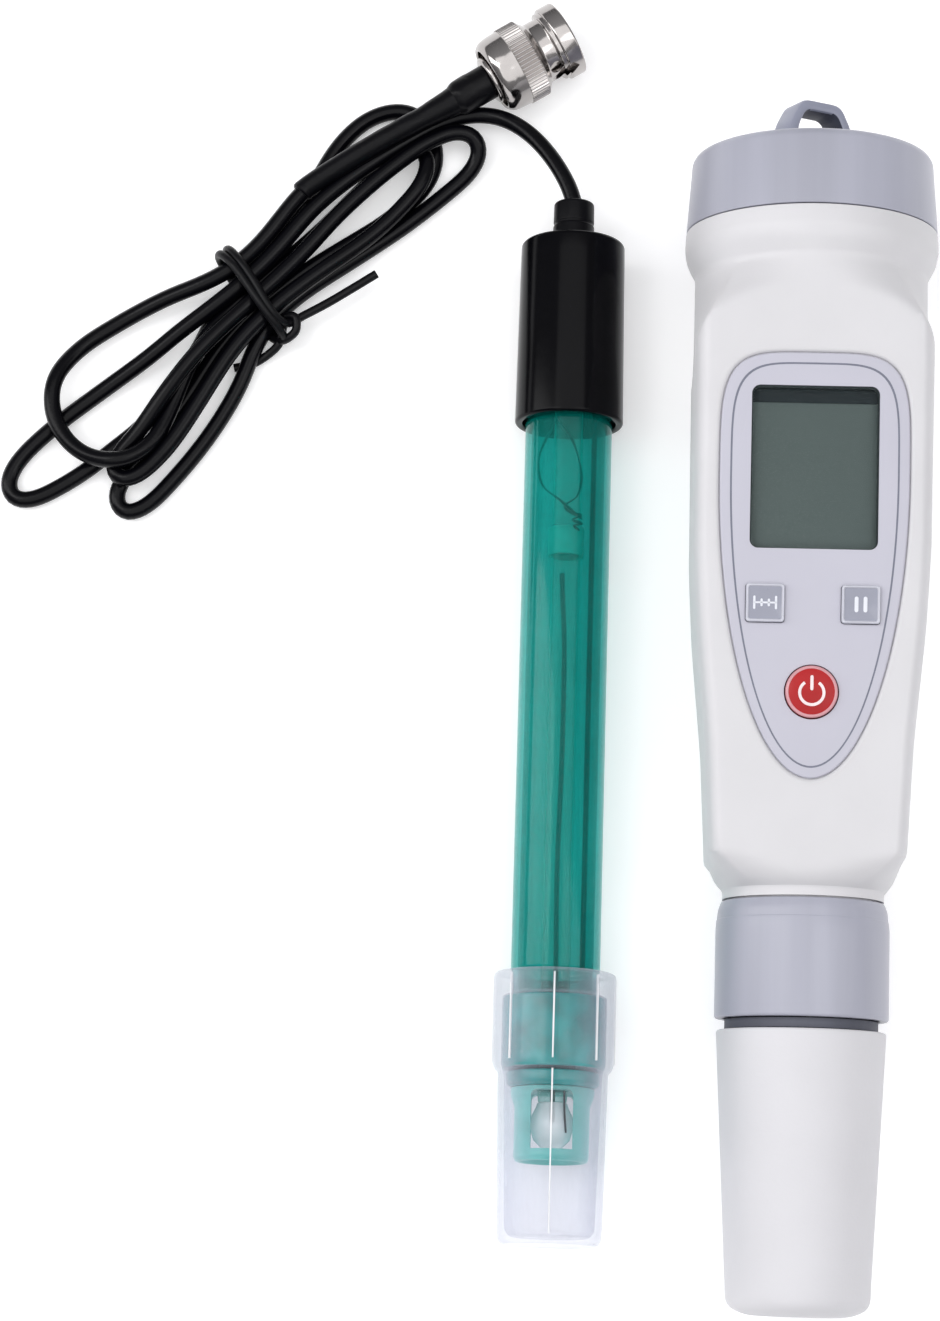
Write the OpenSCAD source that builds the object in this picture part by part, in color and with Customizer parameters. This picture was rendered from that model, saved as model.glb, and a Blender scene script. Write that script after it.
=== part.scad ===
// Pen pH meter with a separate combination pH electrode, both lying on a table.
// Frame: +Z is up and +Y runs along both pieces, from the sensor ends to the caps.
// The origin is on the table, under the middle of the meter and the electrode.
// Each piece is drawn upright in its own frame, z along its axis, and then laid down.
// The meter's display faces -Y while it stands upright, and up when it lies.

/* [Meter body] */
// Half-width of the grip at its widest
grip_w = 19; // [18.5:0.1:19.4]
// Half-width of the shoulder above the sensor collar
shoulder_w = 15.6; // [15.2:0.1:16.2]
// Radius of the bead under the battery cap
bead_r = 20.8; // [20.6:0.1:21.2]
// Thickness of the housing's wall
wall = 2; // [1.8:0.1:2.2]
// Lean of the display face against the axis, in degrees
face_lean = 2.5; // [2.3:0.1:2.7]

/* [Meter caps] */
// Radius of the battery cap where it meets the housing
battery_cap_r = 20.55; // [20:0.05:20.8]
// Height of the battery cap
battery_cap_h = 12.7; // [12:0.1:14]
// Radius of the sensor lock collar
collar_r = 13.85; // [13.6:0.05:14.4]
// Radius of the protective cap at its mouth
cap_mouth_r = 13.55; // [13.4:0.05:13.8]
// Radius of the protective cap at its closed end
cap_end_r = 11.5; // [11.4:0.1:12]

/* [Display and keys] */
// Width of the display window
window_w = 20.1; // [18:0.1:20.4]
// Height of the display window
window_h = 26; // [24:0.1:27]
// Side of the square keys
key_side = 6.2; // [5.6:0.1:6.6]
// Diameter of the power key
power_d = 8.3; // [7.5:0.1:8.8]
// How far a key can be pushed in
key_travel = 0.4; // [0.2:0.1:0.5]

/* [Electrode] */
// Radius of the electrode's tube
tube_r = 7.2; // [7:0.05:7.3]
// Radius of the electrode cap's rim
ecap_r = 9; // [8.8:0.05:9.3]
// Radius of the storage bottle's collar
bottle_collar_r = 9.9; // [9.6:0.05:10.2]
// Distance between the meter's axis and the electrode's axis
axis_gap = 39.25; // [37:0.25:60]

/* [Cable and plug] */
// Diameter of the coax cable
cable_d = 2.8; // [2.4:0.1:3]
// Radius of the plug's knurled coupling
plug_r = 6.95; // [6.8:0.05:7.2]

/* [Hidden] */

$fn = 64;
eps = 0.01;
fit = 0.05;                 // radial clearance of a running fit

// Levels along the meter's axis
cap_top = 44.5;             // mouth of the protective cap
collar_z = 46.3;            // lower end of the lock collar
collar_top = 65;
spigot_z = 51;              // lower end of the housing's spigot
body_z = 66.8;              // lower end of the housing's body
shoulder_z = 71.5;
face_top = 150;             // where the flat face starts to turn round
head_z = 165;               // where the body is fully round
bead_z = 171;               // widest level of the bead
mouth_z = 174.6;            // upper end of the housing
battery_cap_top = 174.9 + battery_cap_h;
loop_top = 197.1;

// Radii along the meter's axis
spigot_r = 12.1;
spigot_bore = 10.2;
thread_r = 12.45;           // inside of the lock collar
neck_r = 11;                // sensor neck inside the protective cap
mouth_r = 17;               // bore of the housing's mouth
skirt_r = 16.5;             // skirt of the battery cap inside that bore
guard_r = 8.2;
end_r = tube_r - 0.25;      // the tube inside its cap and inside the bottle

// The flat display face
face_z = 72;
face_depth = 14.8;          // from the axis to the face, at face_z
corner_r = 5;
recess = 0.7;               // depth of the control panel's recess
panel_mid = 131;            // widest level of the control panel
key_x = 7.5;
key_v = 110.7;
power_v = 96.8;
window_v = 132.5;
board_top = -6;             // circuit board's front, below the face
board_back = -7.6;
screw_x = 10.8;
screw_levels = [90, 104.5];

// The two rounded edges that the meter lies on, and the tilt that this gives
bead_edge = 4.5;
cap_edge = 3.5;
lie_z = bead_z - cap_edge;
lie_r = (bead_r - bead_edge) - (cap_end_r - cap_edge);
tilt = atan2(lie_r, lie_z) + asin((bead_edge - cap_edge) / norm([lie_z, lie_r]));
meter_h = bead_edge + (bead_r - bead_edge) * cos(tilt) - bead_z * sin(tilt);
meter_x = (axis_gap - bead_r + bottle_collar_r) / 2;
meter_low = cap_edge * (cos(tilt) - 1) - (cap_end_r - cap_edge) * sin(tilt);
meter_high = loop_top * cos(tilt);
meter_y = -(meter_low + meter_high) / 2;

// Levels along the electrode, from the closed end of its storage bottle
tip_z = 13.1;
guard_z = 23.4;
bottle_neck_z = 27.6;
bottle_top = 43.2;
ecap_z = 135;
tube_top = 150;
ecap_top = 166.4;
boss_top = 173.8;
electrode_x = meter_x - axis_gap;
electrode_y = meter_y + 9.9;
electrode_tilt = -atan((bottle_collar_r - ecap_r) / (ecap_z - bottle_top));
electrode_h = bottle_collar_r * cos(electrode_tilt) - bottle_top * sin(electrode_tilt);

// The cable's exit from the strain relief
exit_x = electrode_x;
exit_y = electrode_y + boss_top * cos(electrode_tilt);
exit_h = electrode_h + boss_top * sin(electrode_tilt);

// The cable's free ends: [x, y] from the exit, and z above the table
lead_route = [[0, 0, 8.6], [-0.4, 3, 8.6], [-2.4, 7.4, 8.2], [-5.4, 10.9, 7.2],
    [-8.4, 13.4, 6], [-11.9, 15.4, 4.8], [-15.9, 16.4, 3.8], [-20.2, 16.2, 3.4],
    [-24.4, 15, 4.2]];
sleeve_route = [[-20.9, 18.7, 6.95], [-25.1, 16.1, 7.2], [-30, 13.2, 7.3],
    [-38, 8.3, 6.4], [-45.8, 2.9, 5.6]];
tail_route = [[-45.8, 2.9, 5.6], [-49.5, -1.2, 5.4], [-52.6, -6, 5.3]];
sleeve_r = 1.9;
sides = 8;

// The hank: where it is tied, and the round ends of its loops as [x, y, radius]
tie_at = [-54.2, -15.3];
tie_turn = 39;
hank_h = 6.8;
hank_waist = 6;
tie_thickness = 1.1;
hank_ends = [[-77.5, -35, 10.6], [-89.5, -47, 6.8], [-72.3, -50, 5.8],
    [-33, 12, 8.6], [-22, 9.5, 7.3]];

// The plug's axis: the rear end of its boot, and its heading
plug_at = [-20.9, 18.7];
plug_turn = 32;

// ---- Helpers ----

module on_meter() {
    translate([meter_x, meter_y, meter_h])
        rotate([tilt - 90, 0, 0])
            children();
}

// Face frame: x across, y up the face in axis levels, z out of the face
module on_face() {
    on_meter()
        face_frame()
            children();
}

module face_frame() {
    translate([0, -face_depth, face_z])
        rotate([90 + face_lean, 0, 0])
            translate([0, -face_z, 0])
                children();
}

module on_electrode() {
    translate([electrode_x, electrode_y, electrode_h])
        rotate([electrode_tilt - 90, 0, 0])
            children();
}

module on_plug() {
    translate([exit_x + plug_at[0], exit_y + plug_at[1], plug_r])
        rotate([0, 0, plug_turn])
            rotate([0, 90, 0])
                children();
}

// A turned piece from its half outline [radius, z]
module spin(points) {
    rotate_extrude()
        polygon(points);
}

module disc(r, low, high) {
    translate([0, 0, low])
        cylinder(r = r, h = high - low);
}

module ring(outer, inner, low, high) {
    difference() {
        disc(outer, low, high);
        disc(inner, low - 1, high + 1);
    }
}

// An O-ring of round section, its middle at radius r and level z
module o_ring(r, z, section) {
    translate([0, 0, z])
        rotate_extrude()
            translate([r, 0])
                circle(r = section, $fn = 24);
}

// A block with its x and y centred, between two levels
module block(w, d, low, high) {
    translate([-w / 2, -d / 2, low])
        cube([w, d, high - low]);
}

function arc(cx, cy, r, from, to, steps) =
    [for (i = [0:steps]) [cx + r * cos(from + (to - from) * i / steps),
        cy + r * sin(from + (to - from) * i / steps)]];

// A rectangle with round corners, centred
module round_rect(w, h, r) {
    polygon(concat(
        arc(w / 2 - r, h / 2 - r, r, 0, 90, 4),
        arc(r - w / 2, h / 2 - r, r, 90, 180, 4),
        arc(r - w / 2, r - h / 2, r, 180, 270, 4),
        arc(w / 2 - r, r - h / 2, r, 270, 360, 4)));
}

module plate(w, h, r, low, high) {
    translate([0, 0, low])
        linear_extrude(high - low)
            round_rect(w, h, r);
}

// ---- Housing sections ----

function face_at(z) = face_depth + (z - face_z) * tan(face_lean);
function width_at(z) = lookup(z, [[shoulder_z, shoulder_w], [90, shoulder_w + 0.9],
    [107.7, grip_w - 0.8], [120, grip_w - 0.15], [face_top, grip_w]]);

// One thin level of the body's outline, drawn in by a margin, and more at its sides
module section(z, margin, sides = 0) {
    translate([0, 0, z])
        linear_extrude(eps)
            round_rect(2 * (width_at(z) - margin - sides), 2 * (face_at(z) - margin),
                corner_r - margin / 2);
}

module round_section(z, r) {
    translate([0, 0, z])
        cylinder(r = r, h = eps, $fn = 32);
}

module body_outside() {
    hull() {
        round_section(body_z, 13.2);
        section(shoulder_z, 0);
    }
    hull() {
        section(shoulder_z, 0);
        section(90, 0);
    }
    hull() {
        section(90, 0);
        section(107.7, 0);
        section(120, 0);
        section(face_top, 0);
    }
    hull() {
        section(face_top, 0);
        round_section(head_z, grip_w - 0.2);
    }
}

module body_inside() {
    hull() {
        section(shoulder_z + wall, wall);
        section(107.7, wall);
        section(face_top, wall, 0.4);
    }
}

// Outline of the control panel: a long half-ellipse below, a squarer one above
module panel_outline(inset) {
    half = 15.1 - inset;
    polygon([for (a = [0:7.5:352.5])
        let (c = cos(a), s = sin(a))
        s < 0
            ? [half * c, panel_mid + (47.9 - inset) * s]
            : [half * sign(c) * pow(abs(c), 0.444), panel_mid + (20 - inset) * pow(s, 0.444)]]);
}

module key_holes(gap, low, high) {
    for (side = [-1, 1])
        translate([side * key_x, key_v, 0])
            block(key_side + 2 * gap, key_side + 2 * gap, low, high);
    translate([0, power_v, 0])
        disc(power_d / 2 + gap, low, high);
}

module window_hole(gap, low, high) {
    translate([0, window_v, 0])
        plate(window_w + 2 * gap, window_h + 2 * gap, 1.3 + gap, low, high);
}

// ---- Meter: housing and what stays in it ----

module housing() {
    color([0.92, 0.92, 0.92])
        on_meter()
            difference() {
                union() {
                    body_outside();
                    spin([[0, spigot_z], [spigot_r, spigot_z], [spigot_r, 65.2],
                        [12.9, 65.2], [12.9, 68], [0, 68]]);
                    spin(concat([[0, head_z - 1], [grip_w, head_z - 1], [grip_w, 167]],
                        arc(bead_r - bead_edge, bead_z, bead_edge, -50, 50, 6),
                        [[19, mouth_z], [0, mouth_z]]));
                }
                disc(spigot_bore, spigot_z - 1, shoulder_z + wall + 1);
                body_inside();
                disc(mouth_r, face_top - 2, mouth_z + 1);
                face_frame() {
                    translate([0, 0, -recess])
                        linear_extrude(5)
                            panel_outline(0);
                    window_hole(0.3, -6, 1);
                    key_holes(0.2, -6, 1);
                }
            }
}

module control_panel() {
    color([0.82, 0.82, 0.87])
        on_face()
            difference() {
                translate([0, 0, -recess])
                    linear_extrude(0.6)
                        panel_outline(0.15);
                window_hole(0.05, -2, 1);
                key_holes(0.2, -2, 1);
            }
}

module display_lens() {
    color([0.45, 0.5, 0.5])
        on_face() {
            window_hole(0, -wall - 0.2, -0.15);
            translate([0, window_v, 0])
                plate(window_w + 2.8, window_h + 2.8, 2, -2.8, -wall - 0.1);
        }
}

module display_glass() {
    color([0.37, 0.42, 0.41])
        on_face()
            translate([0, window_v, 0])
                plate(22, 30, 0.5, -5, -3);
}

module display_frame() {
    color([0.9, 0.9, 0.9])
        on_face()
            translate([0, window_v, 0])
                difference() {
                    plate(24.4, 33, 1, board_top, -3);
                    plate(22.2, 30.2, 0.6, board_top - 1, -2);
                }
}

module zebra_strips() {
    color([0.85, 0.4, 0.5])
        on_face()
            for (side = [-1, 1])
                translate([0, window_v + side * 13.5, 0])
                    block(20, 1.8, board_top, -5);
}

module circuit_board() {
    color([0.1, 0.4, 0.2])
        on_face()
            difference() {
                translate([0, 118.5, 0])
                    plate(25, 62, 2, board_back, board_top);
                for (x = [-screw_x, screw_x], v = screw_levels)
                    translate([x, v, 0])
                        disc(1.1, board_back - 1, board_top + 1);
            }
}

module board_components() {
    color([0.15, 0.15, 0.16])
        on_face() {
            for (v = [98, 112, 128])
                translate([2, v, 0])
                    block(7, 7, board_back - 1, board_back);
            for (i = [0:5])
                translate([-7.5, 96 + 8 * i, 0])
                    block(2, 1.2, board_back - 0.6, board_back);
            translate([7.5, 120, 0])
                disc(2, board_back - 1.2, board_back);
        }
}

module key_switches() {
    color([0.2, 0.2, 0.22])
        on_face()
            for (place = [[-key_x, key_v], [key_x, key_v], [0, power_v]])
                translate([place[0], place[1], 0]) {
                    block(5.6, 5.6, board_top, -4.2);
                    disc(1.7, -4.3, -3.2 - key_travel);
                }
}

module board_screws() {
    color([0.7, 0.7, 0.72])
        on_face()
            for (x = [-screw_x, screw_x], v = screw_levels)
                translate([x, v, 0]) {
                    disc(1.9, board_top, board_top + 1.2);
                    disc(0.9, board_back - 3, board_top + 0.1);
                }
}

module chassis() {
    color([0.85, 0.85, 0.83])
        on_face()
            difference() {
                union() {
                    translate([0, 117.5, 0])
                        plate(25, 63, 2, -12, -10.4);
                    for (x = [-screw_x, screw_x], v = screw_levels)
                        translate([x, v, 0])
                            disc(2.2, -11, board_back);
                    for (x = [-9, 9])
                        translate([x, 117.5, 0])
                            block(1.4, 60, -14.5, -11.9);
                }
                for (x = [-screw_x, screw_x], v = screw_levels)
                    translate([x, v, 0])
                        disc(0.9, board_back - 3, board_top);
            }
}

// A key: its face stands proud of the panel, and its flange stays under the wall
module square_key(side) {
    on_face()
        translate([side * key_x, key_v, 0]) {
            plate(key_side, key_side, 0.6, -2.8, 0.7);
            block(key_side + 1.2, key_side + 1.2, -2.8, -wall - 0.2);
        }
}

module cal_button() {
    color([0.63, 0.64, 0.7])
        square_key(-1);
}

module hold_button() {
    color([0.63, 0.64, 0.7])
        square_key(1);
}

module power_button() {
    color([0.78, 0.16, 0.18])
        on_face()
            translate([0, power_v, 0])
                spin([[0, -2.8], [power_d / 2 + 0.6, -2.8], [power_d / 2 + 0.6, -wall - 0.2],
                    [power_d / 2, -wall - 0.2], [power_d / 2, 0.5], [power_d / 2 - 0.4, 0.8],
                    [0, 1]]);
}

// ---- Meter: batteries and their cap ----

cell_r = 10;
cell_h = 3.2;
cell_z = 171;

module battery_holder() {
    color([0.2, 0.2, 0.22])
        on_meter()
            difference() {
                union() {
                    disc(mouth_r - 0.1, 151.5, 154);
                    disc(13.5, 153.9, cell_z + 2 * cell_h + 0.4);
                }
                disc(cell_r + 0.3, cell_z - 1, cell_z + 10);
                disc(8.5, 150, cell_z - 2.5);
                translate([0, 11.6, 0])
                    block(4, 1.2, 150, cell_z + 10);
                disc(1.5, 150, cell_z);
            }
}

module battery_cells() {
    color([0.78, 0.78, 0.8])
        on_meter()
            for (i = [0, 1])
                translate([0, 0, cell_z + i * (cell_h + 0.1)]) {
                    disc(cell_r, 0, cell_h - 0.4);
                    disc(cell_r - 1.2, cell_h - 0.5, cell_h);
                }
}

module battery_contacts() {
    color([0.85, 0.8, 0.6])
        on_meter() {
            ring(6, 1.6, cell_z - 1, cell_z - 0.6);
            translate([0, 4, 0])
                block(3, 2, cell_z - 0.7, cell_z);
            translate([0, 11.6, 0])
                block(3.6, 0.6, 152, cell_z + 5);
        }
}

module battery_leads() {
    color([0.7, 0.15, 0.15])
        on_meter()
            for (x = [-5, 5])
                translate([x, -9.1, 140])
                    cylinder(r = 0.6, h = 11.5);
}

module cap_o_ring() {
    color([0.12, 0.12, 0.13])
        on_meter()
            o_ring(mouth_r - fit - 0.7, 170.5, 0.7);
}

module battery_cap() {
    color([0.66, 0.67, 0.73])
        on_meter()
            difference() {
                union() {
                    spin([[0, 174.9], [battery_cap_r, 174.9],
                        [19.5, battery_cap_top - 0.9], [18.9, battery_cap_top - 0.1],
                        [0, battery_cap_top]]);
                    disc(skirt_r, 167, 175);
                }
                disc(14.7, 166, battery_cap_top - 2);
                difference() {
                    disc(18.4, 174, battery_cap_top - 2.2);
                    disc(skirt_r, 173, battery_cap_top);
                }
                ring(18, skirt_r - 1.05, 169.7, 171.3);
            }
}

// The loop stands on the cap, turned a little about the meter's axis
loop_turn = 30;
loop_w = 12.4;

module lanyard_loop() {
    color([0.66, 0.67, 0.73])
        on_meter()
            rotate([0, 0, loop_turn])
                translate([0, 1.9, battery_cap_top])
                    rotate([90, 0, 0])
                        linear_extrude(3.8)
                            difference() {
                                polygon([[-loop_w / 2, 0], [loop_w / 2, 0], [loop_w / 2, 5.2],
                                    [3.8, loop_top - battery_cap_top],
                                    [-3.8, loop_top - battery_cap_top], [-loop_w / 2, 5.2]]);
                                polygon([[-4.4, -1], [4.4, -1], [4.4, 4.9], [2.9, 7.8],
                                    [-2.9, 7.8], [-4.4, 4.9]]);
                            }
}

module contact_spring() {
    color([0.8, 0.76, 0.6])
        on_meter()
            translate([0, 2, 0])
                rotate([90, 0, 0])
                    linear_extrude(4)
                        polygon([[-6, battery_cap_top - 2], [-6, battery_cap_top - 2.4],
                            [3.3, battery_cap_top - 2.4], [1.1, 178.4], [-2, 178.4],
                            [-2, 178], [1.4, 178], [3.8, battery_cap_top - 2]]);
}

// ---- Meter: sensor end ----

module sensor_socket() {
    color([0.2, 0.25, 0.22])
        on_meter()
            difference() {
                disc(spigot_bore, 61, 65.5);
                for (a = [45:90:315])
                    rotate([0, 0, a])
                        translate([5, 0, 0])
                            disc(0.6, 60, 66);
            }
}

module sensor_ribbon() {
    color([0.8, 0.5, 0.15])
        on_meter()
            translate([4, 0, 0])
                rotate([0, -90, 0])
                    linear_extrude(8)
                        polygon([[65.5, -3], [65.5, -3.4], [84, -7.2], [92, -7.95],
                            [92, -7.5], [84, -6.8]]);
}

module sensor_body() {
    color([0.2, 0.2, 0.22])
        on_meter()
            difference() {
                spin([[0, 8], [guard_r, 8], [guard_r, 27], [neck_r - 0.6, 30], [neck_r - 0.6, 38],
                    [10.4, 38.2], [10.4, 39.8], [neck_r - 0.2, 40], [neck_r, 41],
                    [neck_r, 48.7], [spigot_r, 48.7], [spigot_r, 50.8], [9.9, 50.8],
                    [9.9, 54.8], [8.95, 54.8], [8.95, 56.2], [9.9, 56.2], [9.9, 60], [0, 60]]);
                disc(6.6, 7, 22);
                for (turn = [0, 90])
                    rotate([0, 0, turn])
                        block(20, 7.5, 10, 20);
                disc(3.05, 21, 40.2);
                disc(1.2, 39, 61);
                translate([-5.1, 0, 0])
                    disc(1.15, 21, 30.2);
                translate([5.1, 0, 0])
                    disc(1.3, 21, 25.2);
                for (a = [45:90:315])
                    rotate([0, 0, a])
                        translate([5, 0, 0])
                            disc(0.5, 57, 61);
            }
}

module sensor_glass() {
    color([0.85, 0.9, 0.92])
        on_meter()
            difference() {
                union() {
                    translate([0, 0, 15.5])
                        sphere(r = 3.7);
                    disc(3, 16, 40);
                }
                translate([0, 0, 15.5])
                    sphere(r = 3.1);
                disc(2.3, 15.5, 41);
            }
}

module sensor_wire() {
    color([0.55, 0.53, 0.5])
        on_meter()
            disc(0.4, 15, 59.5);
}

module sensor_junction() {
    color([0.95, 0.95, 0.92])
        on_meter()
            translate([5.1, 0, 0])
                disc(1.3, 20.6, 25.2);
}

module temperature_probe() {
    color([0.75, 0.76, 0.78])
        on_meter()
            translate([-5.1, 0, 0])
                spin([[0, 11.4], [0.8, 11.6], [1.15, 12.3], [1.15, 30.2], [0, 30.2]]);
}

module sensor_pins() {
    color([0.85, 0.7, 0.3])
        on_meter()
            for (a = [45:90:315])
                rotate([0, 0, a])
                    translate([5, 0, 0])
                        disc(0.5, 57, 64.4);
}

module sensor_o_ring() {
    color([0.12, 0.12, 0.13])
        on_meter()
            o_ring(spigot_bore - fit - 0.6, 55.5, 0.6);
}

module cap_gasket() {
    color([0.16, 0.16, 0.18])
        on_meter() {
            ring(12.2, neck_r, cap_top + 0.15, collar_z - 0.15);
            o_ring(11.1, 39, 0.7);
        }
}

module lock_collar() {
    color([0.66, 0.67, 0.73])
        on_meter()
            spin([[neck_r + 0.25, collar_z], [collar_r - 0.6, collar_z], [collar_r, collar_z + 0.8],
                [collar_r, 61.6], [collar_r - 0.25, 61.8], [collar_r - 0.85, collar_top],
                [thread_r, collar_top], [thread_r, 48.6], [neck_r + 0.25, 48.6]]);
}

module protective_cap() {
    color([0.93, 0.93, 0.93])
        on_meter()
            spin(concat([[0, 0]],
                arc(cap_end_r - cap_edge, cap_edge, cap_edge, -90, 0, 8),
                [[cap_mouth_r, cap_top], [cap_mouth_r - 1.35, cap_top],
                [cap_end_r - 1.2, 3.6], [9.4, 1.8], [0, 1.8]]));
}

// ---- Electrode ----

module electrode_tube() {
    color([0.1, 0.6, 0.52])
        on_electrode()
            difference() {
                union() {
                    disc(tube_r, bottle_top + 0.4, ecap_z - 0.1);
                    spin([[0, tip_z], [5.6, tip_z], [6, tip_z + 0.6], [6, guard_z - 1.5],
                        [end_r, guard_z], [end_r, tube_top], [0, tube_top]]);
                }
                disc(tube_r - 1.1, guard_z + 4, tube_top + 1);
                disc(4.9, tip_z - 1, guard_z + 1);
                block(7.6, 20, tip_z + 1.4, guard_z - 1.2);
                disc(2.45, guard_z, guard_z + 5);
                translate([4.3, 0, 0])
                    disc(0.8, guard_z - 1, guard_z + 5);
            }
}

module electrode_cap() {
    color([0.06, 0.06, 0.07])
        on_electrode()
            spin(concat([[7.7, ecap_z], [ecap_r - 0.3, ecap_z], [ecap_r, ecap_z + 0.3]],
                arc(ecap_r - 2, ecap_top - 1.5, 1.5, 0, 90, 4),
                [[2.2, ecap_top], [2.2, tube_top + 6], [tube_r - 1.2, tube_top + 6],
                [tube_r - 1.2, tube_top], [end_r, tube_top], [end_r, ecap_z + 2],
                [7.7, ecap_z + 1.2]]));
}

module strain_relief() {
    color([0.08, 0.08, 0.09])
        on_electrode()
            spin(concat([[0, tube_top + 8], [2.2, tube_top + 8], [2.2, ecap_top],
                [3.45, ecap_top]],
                arc(1.9, boss_top - 1.1, 1.1, 0, 90, 3), [[0, boss_top]]));
}

module cap_potting() {
    color([0.75, 0.75, 0.7])
        on_electrode()
            difference() {
                disc(tube_r - 1.1, 141, tube_top);
                disc(2.4, 140, tube_top + 1);
                translate([4.3, 0, 0])
                    disc(0.45, 140, tube_top + 1);
            }
}

module inner_glass() {
    color([0.8, 0.95, 0.92])
        on_electrode()
            difference() {
                union() {
                    translate([0, 0, tip_z + 5.6])
                        sphere(r = 3.6);
                    disc(2.4, tip_z + 6, tube_top);
                }
                translate([0, 0, tip_z + 5.6])
                    sphere(r = 3.1);
                disc(1.7, tip_z + 6, tube_top + 1);
            }
}

module inner_plug() {
    color([0.85, 0.92, 0.88])
        on_electrode()
            ring(3.8, 2.4, 112, 118);
}

module measuring_wire() {
    color([0.5, 0.48, 0.45])
        on_electrode()
            disc(0.35, tip_z + 6, tube_top + 5);
}

module reference_wire() {
    color([0.15, 0.15, 0.15])
        on_electrode()
            translate([4.3, 0, 0])
                disc(0.45, 44, tube_top + 4);
}

module reference_junction() {
    color([0.93, 0.93, 0.9])
        on_electrode()
            translate([4.3, 0, 0])
                disc(0.8, guard_z - 0.4, guard_z + 5);
}

module storage_bottle() {
    color([0.85, 0.86, 0.92, 0.5])
        on_electrode()
            difference() {
                spin(concat([[0, 0]],
                    arc(8.4 - 1.4, 1.4, 1.4, -90, 0, 4),
                    [[8.85, bottle_neck_z], [9.6, bottle_neck_z + 0.1],
                    [bottle_collar_r, bottle_top - 0.2], [bottle_collar_r - 0.2, bottle_top],
                    [0, bottle_top]]));
                disc(end_r + 0.2, bottle_neck_z, bottle_top + 1);
                disc(8.55, bottle_neck_z, bottle_top - 3.6);
                translate([0, 0, 1])
                    cylinder(r1 = 7.2, r2 = 8, h = bottle_neck_z - 0.9);
            }
}

module bottle_seal() {
    color([0.3, 0.75, 0.7])
        on_electrode()
            ring(8.5, end_r + fit, bottle_neck_z + 0.1, bottle_top - 3.7);
}

// ---- Cable ----

// Direction of the route at point i
function heading(route, i) =
    let (d = route[min(i + 1, len(route) - 1)] - route[max(i - 1, 0)])
    d / norm(d);

function ring_points(route, i, r) =
    let (d = heading(route, i), across = cross([0, 0, 1], d) / norm(cross([0, 0, 1], d)),
        up = cross(d, across))
    [for (k = [0:sides - 1]) route[i] + r * cos(360 * k / sides) * across
        + r * sin(360 * k / sides) * up];

// A cord of radius r swept along a route
module tube(route, r) {
    count = len(route);
    points = [for (i = [0:count - 1]) each ring_points(route, i, r)];
    skin = [for (i = [0:count - 2], k = [0:sides - 1])
        [i * sides + k, i * sides + (k + 1) % sides, (i + 1) * sides + (k + 1) % sides,
            (i + 1) * sides + k]];
    start = [for (k = [sides - 1:-1:0]) k];
    finish = [for (k = [0:sides - 1]) (count - 1) * sides + k];
    translate([exit_x, exit_y, 0])
        polyhedron(points, concat(skin, [start, finish]));
}

module cable_lead() {
    color([0.07, 0.07, 0.08])
        tube(lead_route, cable_d / 2);
}

module cable_sleeve() {
    color([0.09, 0.09, 0.1])
        tube(sleeve_route, sleeve_r);
}

module cable_tail() {
    color([0.07, 0.07, 0.08])
        tube(tail_route, cable_d / 2);
}

// One lobe of the hank: from its waist at one place to a round end at another
module lobe(from, to) {
    turn = atan2(to[1] - from[1], to[0] - from[0]);
    side = hank_waist * [sin(turn), -cos(turn)];
    linear_extrude(hank_h - tie_thickness)
        polygon(concat([[from[0], from[1]] + side],
            arc(to[0], to[1], to[2], turn - 90, turn + 90, 10),
            [[from[0], from[1]] - side]));
}

module cable_hank() {
    color([0.07, 0.07, 0.08])
        translate([exit_x, exit_y, tie_thickness]) {
            lobe(tie_at, hank_ends[0]);
            lobe(hank_ends[0], hank_ends[1]);
            lobe(tie_at, hank_ends[2]);
            lobe(tie_at, hank_ends[3]);
            lobe(tie_at, hank_ends[4]);
        }
}

module cable_tie() {
    color([0.1, 0.1, 0.11])
        translate([exit_x + tie_at[0], exit_y + tie_at[1], 0])
            rotate([0, 0, tie_turn]) {
                difference() {
                    block(3.6, 2 * (hank_waist + tie_thickness), 0, hank_h + tie_thickness);
                    block(5, 2 * hank_waist, tie_thickness, hank_h);
                }
                translate([1, -hank_waist - 2, 0])
                    disc(1.6, 0, 5);
            }
}

// ---- Plug ----

module plug_boot() {
    color([0.08, 0.08, 0.09])
        on_plug()
            difference() {
                spin([[0, 0], [2.3, 0], [3, 0.5], [3, 7.6], [0, 7.6]]);
                disc(2, 3, 8);
            }
}

module plug_body() {
    color([0.78, 0.78, 0.8])
        on_plug()
            difference() {
                spin([[0, 3], [2, 3], [2, 7.6], [4.1, 7.6], [4.1, 8.7], [3.4, 8.7],
                    [3.4, 10], [4.2 - fit, 10], [4.2 - fit, 12.5], [4.2 - fit, 13], [4, 13.2],
                    [4, 21.4], [0, 21.4]]);
                disc(3.3, 13, 22);
                disc(2.2, 9, 14);
                disc(1.3, 2, 10);
            }
}

module plug_insulator() {
    color([0.95, 0.95, 0.95])
        on_plug()
            ring(2.2, 0.7, 9.2, 17.5);
}

module plug_pin() {
    color([0.85, 0.7, 0.3])
        on_plug()
            spin([[0, 8], [0.7, 8], [0.7, 20], [0.35, 20.8], [0, 20.8]]);
}

module plug_gasket() {
    color([0.75, 0.25, 0.2])
        on_plug()
            ring(4.8, 4, 13.4, 14.2);
}

module plug_washer() {
    color([0.7, 0.7, 0.72])
        on_plug()
            ring(4.7, 4, 14.4, 14.7);
}

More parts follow.
